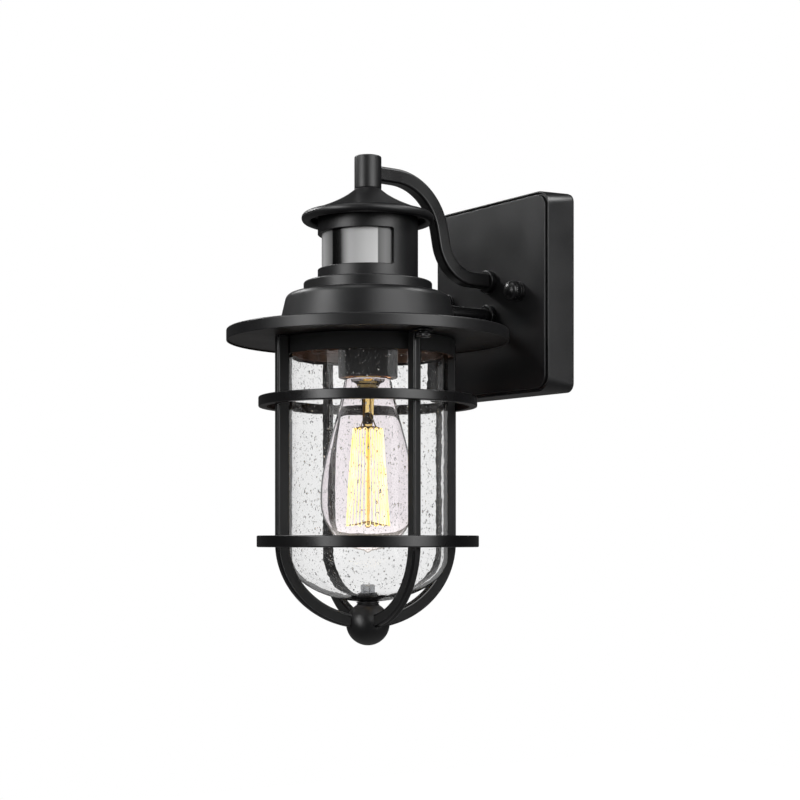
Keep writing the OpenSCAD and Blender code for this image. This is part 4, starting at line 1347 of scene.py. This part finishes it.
@dataclass
class Bulb:
    """Filament lamp: contact, threaded cap, clear pear glass with its stem, and a caged carbon wire."""

    cap_r: float = 13.1
    pitch: float = 3.629
    neck_r: float = 16.6
    belly_r: float = 32.0
    belly_up: float = 36.0
    wall: float = 1.0
    strands: int = 32
    strand_r: float = 0.19
    seed: int = 7
    body: str = "bulb"
    top_r: float = 10.0
    foot_r: float = 14.5
    wire_tall: float = 64.0
    hub_r: float = 1.2
    hook_r: float = 0.28
    support_r: float = 0.4

    def cap(self) -> None:
        """Builds the threaded brass cap with its insulator."""
        low, high = span("bulb_cap")
        shell_top = high.z - 2.2
        r = self.cap_r
        rings: list[list[Vector]] = []
        count = 90
        # The thread starts above a plain skirt, and the shell closes in at its top.
        for i in range(count + 1):
            z = low.z + (shell_top - low.z) * i / count
            ease = max(0.0, min(1.0, (z - low.z - 5.0) / 2.5, (shell_top - z) / 2.0))
            end = max(0.0, 1.5 - (shell_top - z)) / 1.5
            ring = []
            for k in range(72):
                a = 2 * math.pi * k / 72
                wave = 0.5 + 0.5 * math.cos(2 * math.pi * (z / self.pitch - k / 72))
                radius = r - 0.15 - 1.0 * ease * (1 - wave) - 0.9 * end ** 2
                ring.append(around(radius, a, z))
            rings.append(ring)
        place_piece("bulb_cap_threaded", lofted(rings), self.body, BRASS, ["bulb_cap"])
        cone = soften([(0, shell_top - 0.2, 0), (r - 1.4, shell_top - 0.2, 0.2), (5.2, high.z - 0.05, 0.4),
                       (0, high.z - 0.05, 0)], closed=False)
        place_piece("bulb_cap_insulator", turned(cone, segments=64), self.body, PARTS)

    def glass_line(self, inset: float) -> list[Point]:
        """Gives the outline of the glass from its neck to its tip.

        Args:
            inset: How far it is brought in from the outside, in millimetres.

        Returns:
            The outline's points.
        """
        low, high = span("bulb_glass")
        top, tip = high.z, low.z
        belly = tip + self.belly_up
        p0, p1 = Vector((self.neck_r, top - 6)), Vector((self.neck_r + 4, top - 30))
        p2, p3 = Vector((self.belly_r, belly + 26)), Vector((self.belly_r, belly))
        neck = [(self.cap_r - 0.7 - inset, top), (self.neck_r - 1.4 - inset, top - 1.2),
                (self.neck_r - 0.5 - inset, top - 3)]
        side = []
        for k in range(25):
            t = k / 24
            spot = p0 * (1 - t) ** 3 + p1 * 3 * t * (1 - t) ** 2 + p2 * 3 * t * t * (1 - t) + p3 * t ** 3
            side.append((spot.x - inset, spot.y))
        round_end = arc(0.0, belly, self.belly_r - inset, -(self.belly_up - 1.5 - inset), range(6, 85, 6))
        # The bottom runs into the sealed pip where the tube was pulled off.
        pip = [(2.6 - inset * 0.6, tip + 1.3 + inset), (1.5 - inset * 0.4, tip + 0.6 + inset),
               (0.0, tip + inset * 1.4)]
        return neck + side + round_end + pip

    def envelope(self) -> None:
        """Builds the glass as a thin closed wall."""
        outer = self.glass_line(0.0)
        inner = list(reversed(self.glass_line(self.wall)))
        place_piece("bulb_glass_blown", turned(outer + inner), self.body, BULB, ["bulb_glass"], 60)

    def stem(self) -> None:
        """Builds the flared stem and the rod that carries the wire."""
        top = span("bulb_glass")[1].z - 1.5
        foot = span("filament")[0].z
        head = foot + self.wire_tall
        flare = [(11.5, top), (8.0, top - 2.5), (5.6, top - 7), (4.2, top - 14), (3.6, head + 7),
                 (3.4, head + 4)]
        pinch = [(3.0, head + 2.6), (1.8, head + 1.6)]
        post = [(1.3, head - 1), (1.2, foot + 2), (1.8, foot + 0.8), (1.9, foot - 0.6), (1.2, foot - 1.6),
                (0.0, foot - 1.9)]
        line = [(0.0, top - 1.0), (10.6, top - 1.0)] + flare + pinch + post
        place_piece("bulb_stem_pressed", turned(line, segments=48, closed=False), self.body, FLARE)

    def wire(self) -> None:
        """Builds the glowing strands, the hooks that they hang from, and the two supports."""
        low = span("filament")[0].z
        foot, head = low + 0.3, low + self.wire_tall
        chance = random.Random(self.seed)
        strands, hooks = [], []
        count = self.strands
        for i in range(count):
            a = 2 * math.pi * (i + 0.5) / count
            up, down = around(self.top_r, a, head), around(self.foot_r, a, foot)
            bow = Vector((math.cos(a), math.sin(a), 0)) * chance.uniform(-0.5, 0.5)
            path = [up.lerp(down, k / 8) + bow * math.sin(math.pi * k / 8) for k in range(9)]
            strands.append(rod(path, self.strand_r, 8))
            b = 2 * math.pi * (i + 1.5) / count
            r, z, sign = (self.top_r, head, 1) if i % 2 else (self.foot_r, foot, -1)
            bend = [around(r, a + (b - a) * k / 5, z + sign * 0.9 * math.sin(math.pi * k / 5))
                    for k in range(6)]
            strands.append(rod(bend, self.strand_r, 8))
            m = (a + b) / 2
            hub = around(self.hub_r, m, z + sign * (2.5 if i % 2 else -2.2))
            tip = around(r, m, z + sign * 0.5)
            hooks.append(rod([hub, hub.lerp(tip, 0.5) + Vector((0, 0, sign * 0.4)), tip], self.hook_r, 6))
        for sign in (-1, 1):
            start = Vector((AXIS.x + sign * 2.2, AXIS.y, head + 9))
            end = Vector((AXIS.x + sign * self.top_r * 0.98, AXIS.y, head + 0.6))
            elbow = start.lerp(end, 0.5) + Vector((0, 0, 1.5))
            hooks.append(rod([start + Vector((0, 0, 12)), start, elbow, end], self.support_r, 8))
        place_piece("filament_strands", joined(strands), self.body, HOT, ["filament"])
        place_piece("filament_hooks", joined(hooks), self.body, SUPPORT)

    def build(self) -> None:
        """Builds the whole lamp."""
        self.cap()
        self.envelope()
        self.stem()
        self.wire()
        dress(LEAD, "bulb_contact")


# ---------------------------------------------------------------- cage


@dataclass
class Cage:
    """Welded cage: four bars bent into a bowl, two rings, the fitter collar, the ears and the finial."""

    body: str = "cage"
    inner_r: float = 59.0
    depth: float = 9.0
    width: float = 5.5
    edge: float = 1.4
    bowl: float = 57.75
    ball_r: float = 14.7
    ring_in_r: float = 68.04
    collar_t: float = 1.8
    ear_w: float = 12.0
    screw_out: float = 75.0
    stud_hole: float = 3.1

    @staticmethod
    def across(turn: Turn) -> tuple[Vector, Vector]:
        """Gives the directions out from the axis and sideways at a bar."""
        a = math.radians(CAGE_TURN + turn.value)
        return Vector((math.cos(a), math.sin(a), 0)), Vector((-math.sin(a), math.cos(a), 0))

    def bar(self, turn: Turn) -> bmesh.types.BMesh:
        """Builds one bar.

        Args:
            turn: Where it stands round the cage.

        Returns:
            Its mesh.
        """
        top = span("cage_bars")[1].z
        low, high = span("lower_ring")
        bend_z = (low.z + high.z) / 2 - 1.0
        out_r = self.inner_r + self.depth
        end_r = self.ball_r * 0.56
        stations: list[tuple[Point, Point]] = []
        for k in range(13):
            z = top + (bend_z - top) * k / 12
            stations.append(((self.inner_r, z), (out_r, z)))
        last_out, last_in = math.acos(end_r / out_r), math.acos(end_r / self.inner_r)
        for k in range(1, 41):
            t = k / 40
            a, b = last_out * t, last_in * t
            stations.append(((self.inner_r * math.cos(b), bend_z - (self.bowl - self.depth) * math.sin(b)),
                             (out_r * math.cos(a), bend_z - self.bowl * math.sin(a))))
        section = rounded_box(self.depth, self.width, self.edge, 4)
        out, aside = self.across(turn)
        rings = []
        for (in_r, in_z), (far_r, far_z) in stations:
            near = AXIS + out * in_r + Vector((0, 0, in_z))
            far = AXIS + out * far_r + Vector((0, 0, far_z))
            mid, half = (near + far) / 2, (far - near) / self.depth
            rings.append([mid + half * u + aside * v for u, v in section])
        return lofted(rings)

    def bars(self) -> None:
        """Builds the four bars."""
        shape = joined([self.bar(turn) for turn in Turn])
        piece = place_piece("cage_bars_bent", shape, self.body, MATT, ["cage_bars"])
        edge_wear(piece, RUBBED, self.edge)

    def rings(self) -> None:
        """Builds both rings."""
        for node in ("upper_ring", "lower_ring"):
            low, high = span(node)
            line = ring_line(self.ring_in_r, high.x - AXIS.x, low.z, high.z, (0.7, 0.9, 0.9, 0.7))
            place_piece(f"{node}_rolled", turned(line, segments=192), self.body, SATIN, [node])

    def collar(self) -> None:
        """Builds the fitter collar."""
        low, high = span("fitter_collar")
        r = high.x - AXIS.x
        line = ring_line(r - self.collar_t, r, low.z, high.z, (0.5, 0.7, 0.3, 0.2))
        shape = turned(line, segments=160)
        place_piece("fitter_collar_drawn", shape, self.body, MATT, ["fitter_collar"])

    def ears(self) -> None:
        """Builds the two ears that the thumb screws go through."""
        low, high = span("cage_ears")
        w, far = self.ear_w / 2, self.screw_out
        steps = 24
        outer_end = [math.radians(-90 + 180 * k / steps) for k in range(steps + 1)]
        inner_end = [math.radians(90 + 180 * k / steps) for k in range(1, steps)]
        outline = [(far + w * math.cos(a), w * math.sin(a)) for a in outer_end]
        for a in inner_end:
            # A line from the screw at this angle leaves the ear on its straight side or on the bars' face.
            t = math.tan(a)
            x = -(far - (self.inner_r + self.depth))
            y = x * t
            if abs(y) > w:
                x, y = -(w / abs(t)), math.copysign(w, -t)
            outline.append((far + x, y))
        bore = [(far + THUMB_HOLE_R * math.cos(a), THUMB_HOLE_R * math.sin(a))
                for a in outer_end + inner_end]
        loops = [(outline, high.z), (outline, low.z), (bore, low.z), (bore, high.z)]
        made = []
        for turn in (Turn.RIGHT, Turn.LEFT):
            out, aside = self.across(turn)
            made.append(lofted([[AXIS + out * u + aside * v + Vector((0, 0, z)) for u, v in line]
                                for line, z in loops], looped=True))
        piece = place_piece("cage_ears_cut", joined(made), self.body, SATIN, ["cage_ears"])
        round_edges(piece, 0.3, 50)

    def finial(self) -> None:
        """Builds the ball, the stud through the shade's foot, its washers and the polished nut."""
        foot = span("ball_finial")[0].z
        centre = foot + self.ball_r
        ball = [(self.ball_r * math.sin(math.radians(a)), centre - self.ball_r * math.cos(math.radians(a)))
                for a in range(0, 171, 5)]
        ball[0] = (0.0, foot)
        ball.append((0.0, ball[-1][1]))
        shape = turned(ball, segments=96, closed=False)
        place_piece("ball_finial_turned", shape, self.body, TEXTURED, ["ball_finial"])
        low, high = span("finial_stud")
        stud = moved(threaded(3.0, 1.0, low.z + 0.1, high.z, 0.45), AXIS)
        place_piece("finial_stud_threaded", stud, self.body, ZINC, ["finial_stud"])
        low, high = span("finial_washers")
        top, hole = span("glass_shade")[0].z, self.stud_hole
        neck = soften([(hole, low.z, 0), (7.5, low.z, 0.2), (7.7, top - 1.5, 0.3), (7.0, top - 1.3, 0.2),
                       (7.0, top - 0.9, 0.2), (7.7, top - 0.7, 0.3), (7.7, top, 0.2), (hole, top, 0)])
        disc = ring_line(hole, 6.5, high.z - 0.8, high.z, (0.1, 0.2, 0.3, 0.1))
        place_piece("finial_washers_turned", joined([turned(neck, segments=96), turned(disc, segments=96)]),
                    self.body, SATIN, ["finial_washers"])
        low, high = span("finial_nut")
        r = radius_of("finial_nut")
        nut = soften([(hole, low.z, 0), (r, low.z, 0.3), (r, low.z + 1.3, 0.3), (r - 0.7, low.z + 1.5, 0.1),
                      (r - 0.7, low.z + 1.9, 0.1), (r, low.z + 2.1, 0.3), (r, high.z, 1.3),
                      (0.0, high.z, 0), (0.0, high.z - 2, 0), (hole, high.z - 2, 0)])
        place_piece("finial_nut_polished", turned(nut, segments=96), self.body, POLISHED, ["finial_nut"])

    def build(self) -> None:
        """Builds the cage."""
        self.bars()
        self.rings()
        self.collar()
        self.ears()
        self.finial()


@dataclass
class ThumbScrew:
    """Low knurled thumb screw under the brim, with its washer."""

    side: Side
    head: float = 2.6
    shank_r: float = 2.0
    pitch: float = 0.7
    thread_deep: float = 0.28
    knurls: int = 36
    knurl_deep: float = 0.22

    def build(self) -> None:
        """Builds the screw and its washer."""
        name = self.side.name.lower()
        node = f"thumb_screw_{name}"
        low, high = span(node)
        middle, r, head = axis_of(node), radius_of(node), self.head
        knurl = knurling(r - 0.35, low.z + 0.5, low.z + head - 0.3, self.knurls, self.knurl_deep)
        line = soften([(0, low.z, 0), (1.9, low.z, 0.1), (1.9, low.z + 0.35, 0.1),
                       (r - 0.9, low.z + 0.1, 0.1), (r - 0.6, low.z, 0.3)], closed=False, steps=3)
        line += [(r - 0.15, low.z + 0.3), (r, low.z + 0.6), (r, low.z + 1.0), (r, low.z + 1.6),
                 (r, low.z + head - 0.5), (r - 0.15, low.z + head - 0.2), (r - 0.4, low.z + head),
                 (self.shank_r, low.z + head), (0, low.z + head)]
        shank = threaded(self.shank_r, self.pitch, low.z + head - 0.1, high.z, self.thread_deep)
        whole = joined([turned(line, middle, 144, False, knurl), moved(shank, middle)])
        place_piece(f"thumb_screw_knurled_{name}", whole, f"thumb_{name}", SATIN, [node])
        node = f"thumb_washer_{name}"
        low, high = span(node)
        disc = ring_line(THUMB_HOLE_R, radius_of(node), low.z, high.z, (0.1, 0.15, 0.15, 0.1), 3)
        place_piece(f"thumb_washer_pressed_{name}", turned(disc, middle, 64), f"thumb_slide_{name}", SATIN,
                    [node])


# ---------------------------------------------------------------- shade


@dataclass
class Shade:
    """Bell jar of seeded glass: an even wall, a round foot with a hole, and air seeds all through it."""

    body: str = "cage"
    radius: float = 54.0
    wall: float = 3.0
    foot: float = 31.0
    hole: float = 4.0
    seeds: int = 5600
    seed: int = 23
    smallest: float = 0.18
    largest: float = 0.80
    rate: float = 9.5
    clear: float = 4.0

    def wall_line(self, inset: float) -> list[Point]:
        """Gives the outline of the wall from its rim to the hole in its foot.

        Args:
            inset: How far it is brought in from the outside, in millimetres.

        Returns:
            The outline's points.
        """
        low, high = span("glass_shade")
        bend = low.z + self.foot
        r, h = self.radius - inset, self.foot - inset
        line = [(r, high.z + (bend - high.z) * k / 24) for k in range(1, 24)]
        last = math.degrees(math.acos(self.hole / r))
        return line + arc(0.0, bend, r, -h, [last * k / 30 for k in range(31)])

    def jar(self) -> None:
        """Builds the jar with its fire-polished rim."""
        top = span("glass_shade")[1].z
        r, t = self.radius, self.wall
        rim = arc(r - t / 2, top - t / 2, t / 2, t / 2, range(180, -1, -20))
        shape = turned(rim + self.wall_line(0.0) + list(reversed(self.wall_line(t))), segments=192)
        place_piece("glass_shade_blown", shape, self.body, SEEDED, ["glass_shade"], 60)

    def air_seeds(self) -> None:
        """Scatters the air seeds inside the wall, drawn out a little along it."""
        chance = random.Random(self.seed)
        low, high = span("glass_shade")
        bend = low.z + self.foot
        ball = bmesh.new()
        bmesh.ops.create_icosphere(ball, subdivisions=1, radius=1.0)
        points = [v.co.copy() for v in ball.verts]
        faces = [[v.index for v in f.verts] for f in ball.faces]
        ball.free()
        verts: list[Corner] = []
        polygons: list[list[int]] = []
        first = high.z - self.clear
        straight = first - bend
        for _ in range(self.seeds):
            run = chance.uniform(0, straight + 0.9 * self.foot)
            a = chance.uniform(0, 2 * math.pi)
            size = min(self.largest, self.smallest + chance.expovariate(self.rate))
            deep = chance.uniform(size + 0.1, self.wall - size - 0.1)
            if run < straight:
                r, z, slope = self.radius - deep, first - run, 0.0
            else:
                b = min(1.32, (run - straight) / self.foot * 1.25)
                r, z = (self.radius - deep) * math.cos(b), bend - (self.foot - deep) * math.sin(b)
                slope = b
            stretch = chance.uniform(1.0, 1.9)
            turn = Matrix.Rotation(a, 3, "Z") @ Matrix.Rotation(slope, 3, "Y")
            middle = AXIS + Vector((r * math.cos(a), r * math.sin(a), z))
            start = len(verts)
            for p in points:
                spot = middle + turn @ Vector((p.x * size * 0.8, p.y * size, p.z * size * stretch))
                verts.append(tuple(spot / 1000))
            polygons += [[start + i for i in face] for face in faces]
        mesh = bpy.data.meshes.new("glass_air_seeds")
        mesh.from_pydata(verts, [], polygons)
        mesh.polygons.foreach_set("use_smooth", [True] * len(mesh.polygons))
        mesh.materials.append(material_of(SEED))
        piece = add_object("glass_air_seeds", mesh)
        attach(piece, self.body)
        LOG.info("glass_air_seeds: %d seeds on %s", self.seeds, self.body)

    def build(self) -> None:
        """Builds the shade."""
        self.jar()
        self.air_seeds()
        dress(SILICONE, "glass_gasket")


# ---------------------------------------------------------------- studio


AFTER_TURN = 0.5  # share of the white backdrop that is left after a turn inside the glass


def seen_directly(tree: Tree, path: bpy.types.Node) -> bpy.types.NodeSocket:
    """Tells the backdrop how much of its white the eye sees, straight or through clear glass.

    Args:
        tree: The node tree to build in.
        path: The tree's Light Path node.

    Returns:
        A socket that is 1 for a look that nothing mirrored or scattered, AFTER_TURN for one that leaves
        glass after such a turn, and 0 for every other ray.
    """
    looked = add_node(tree, "ShaderNodeMath", {"operation": "MAXIMUM"}, {
        0: path.outputs["Is Camera Ray"], 1: path.outputs["Is Transmission Ray"]})
    turns = add_node(tree, "ShaderNodeMath", {"operation": "ADD"}, {
        0: path.outputs["Glossy Depth"], 1: path.outputs["Diffuse Depth"]})
    straight = add_node(tree, "ShaderNodeMath", {"operation": "LESS_THAN"}, {
        0: turns.outputs["Value"], 1: 0.5})
    share = add_node(tree, "ShaderNodeMapRange", sockets={
        "Value": straight.outputs["Value"], "To Min": AFTER_TURN, "To Max": 1.0})
    both = add_node(tree, "ShaderNodeMath", {"operation": "MULTIPLY"}, {
        0: looked.outputs["Value"], 1: share.outputs["Result"]})
    return both.outputs["Value"]


@dataclass
class SoftBox:
    """A studio lamp with a plain soft face, aimed at the lantern."""

    name: str
    azimuth: float
    up: float
    distance: float
    width: float
    height: float
    watts: float
    roll: float = 0.0
    grid_deg: float = 80.0
    colour: str = "#ffffff"
    aim: Vector = field(default_factory=lambda: Vector((0, -0.13, -0.06)))

    def build(self) -> None:
        """Builds the lamp."""
        a = math.radians(self.azimuth)
        data = bpy.data.lights.new(self.name, "AREA")
        data.shape, data.size, data.size_y = "RECTANGLE", self.width, self.height
        data.energy, data.spread = self.watts, math.radians(self.grid_deg)
        data.color = linear(self.colour)[:3]
        lamp = add_object(self.name, data)
        lamp.location = self.aim + Vector((math.sin(a) * self.distance, -math.cos(a) * self.distance,
                                           self.up))
        facing = (self.aim - lamp.location).to_track_quat("-Z", "Y")
        lamp.rotation_euler = (facing @ Quaternion((0, 0, 1), math.radians(self.roll))).to_euler()
        lamp.visible_camera = False
        lamp.visible_transmission = False


@dataclass
class Studio:
    """White studio: lamps, a pale floor and a surround.

    The surround is white to the eye, grey to matt skins and nearly black to gloss, so that the rims of the
    black coat stay dark against it.
    """

    azimuth: float = 54.0
    lens_mm: float = 76.5
    rise: float = 0.17625
    stand: tuple[float, float, float] = (0.939, -0.785, -0.16985)
    floor_z: float = -1.35
    floor_half: float = 6.0
    white: float = 1.0
    fill: float = 0.14
    gloss: float = 0.05
    wire_watts: float = 0.5
    wire_colour: str = "#ffa874"
    soft: tuple[SoftBox, ...] = (
        SoftBox("left_soft_box", -1, 0.45, 1.25, 0.52, 2.1, 4.9, 42.0),
        SoftBox("right_soft_box", 96, 0.40, 1.25, 0.84, 2.0, 5.6, 38.0),
        SoftBox("top_soft_box", 10, 1.5, 0.55, 0.9, 0.9, 1.0),
        SoftBox("plate_lamp_left", -58, 0.33, 0.55, 0.22, 0.14, 0.37, aim=Vector((0, -0.02, 0.04))),
        SoftBox("plate_lamp_right", 132, 0.48, 0.46, 0.25, 0.20, 0.46, aim=Vector((0.06, -0.01, 0.04))),
    )

    def world(self) -> None:
        """Builds the surround."""
        world = bpy.data.worlds.new("studio_surround")
        bpy.context.scene.world = world
        world.use_nodes = True
        tree = world.node_tree
        tree.nodes.clear()
        out = add_node(tree, "ShaderNodeOutputWorld")
        path = add_node(tree, "ShaderNodeLightPath")
        white, fill, gloss = [
            add_node(tree, "ShaderNodeBackground", sockets={"Color": linear("#ffffff"), "Strength": share})
            for share in (self.white, self.fill, self.gloss)]
        unseen = add_node(tree, "ShaderNodeMixShader", sockets={
            0: path.outputs["Is Glossy Ray"], 1: fill.outputs[0], 2: gloss.outputs[0]})
        mix = add_node(tree, "ShaderNodeMixShader", sockets={
            0: seen_directly(tree, path), 1: unseen.outputs[0], 2: white.outputs[0]})
        tree.links.new(mix.outputs["Shader"], out.inputs["Surface"])

    @staticmethod
    def floor_shader(tree: Tree, place: bpy.types.NodeSocket) -> bpy.types.Node:
        """Builds the floor's surface: a pale diffuse one, with the backdrop's white added to the eye.

        Args:
            tree: The node tree to build in.
            place: The place on the floor, in metres.

        Returns:
            The surface's last node.
        """
        # Slight clouds, 1.25 m across.
        cloud = add_node(tree, "ShaderNodeTexNoise", sockets={
            "Vector": place, "Scale": per_mm(1250.0), "Detail": 1.0})
        shade = add_node(tree, "ShaderNodeValToRGB", sockets={"Fac": cloud.outputs["Fac"]})
        set_ramp(shade, [(0.3, "#e6e6e6"), (0.7, "#e9e9e9")])
        path = add_node(tree, "ShaderNodeLightPath")
        lit = add_node(tree, "ShaderNodeBsdfDiffuse", sockets={"Color": shade.outputs["Color"]})
        glow = add_node(tree, "ShaderNodeEmission", sockets={
            "Color": linear("#ffffff"), "Strength": seen_directly(tree, path)})
        return add_node(tree, "ShaderNodeAddShader", sockets={0: lit.outputs[0], 1: glow.outputs[0]})

    def floor(self) -> None:
        """Builds the floor."""
        shape = bmesh.new()
        bmesh.ops.create_grid(shape, x_segments=8, y_segments=8, size=self.floor_half)
        mesh = bpy.data.meshes.new("studio_floor")
        shape.to_mesh(mesh)
        shape.free()
        mesh.materials.append(new_material("pale_studio_floor", self.floor_shader))
        ground = add_object("studio_floor", mesh)
        ground.location = (0, 0, self.floor_z)

    def bulb_glow(self) -> None:
        """Lights the underside of the brim and the cage warmly from inside the lamp."""
        low, high = span("filament")
        data = bpy.data.lights.new("filament_glow", "POINT")
        data.energy, data.shadow_soft_size = self.wire_watts, 0.012
        data.color = linear(self.wire_colour)[:3]
        lamp = add_object("filament_glow", data)
        lamp.location = (low + high) / 2 / 1000
        lamp.visible_camera = False
        lamp.visible_glossy = False
        lamp.visible_transmission = False
        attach(lamp, "bulb")

    def camera(self) -> None:
        """Builds the camera, level with the shade, its frame shifted up to the lantern's middle."""
        data = bpy.data.cameras.new("studio_camera")
        data.lens, data.sensor_width = self.lens_mm, 36.0
        data.shift_x, data.shift_y = 0.0, self.rise
        camera = add_object("studio_camera", data)
        camera.location = self.stand
        camera.rotation_euler = (math.radians(90), 0, math.radians(self.azimuth))
        bpy.context.scene.camera = camera

    def build(self) -> None:
        """Builds the studio."""
        self.camera()
        self.world()
        self.floor()
        self.bulb_glow()
        for lamp in self.soft:
            lamp.build()
        bpy.context.scene.view_settings.view_transform = "Standard"
        LOG.info("studio: %d soft boxes", len(self.soft))


def main() -> None:
    """Builds every sub-assembly in order."""
    logging.basicConfig(level=logging.INFO, format="%(name)s %(message)s", stream=sys.stdout)
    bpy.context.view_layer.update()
    Studio().build()
    for part in (Canopy(), CapNut(Side.RIGHT), CapNut(Side.LEFT), Arm(), Crown(), Sensor(), Socket(),
                 Bulb(), Cage(), ThumbScrew(Side.RIGHT), ThumbScrew(Side.LEFT), Shade()):
        part.build()
    bpy.context.view_layer.update()


if __name__ == "__main__":
    main()
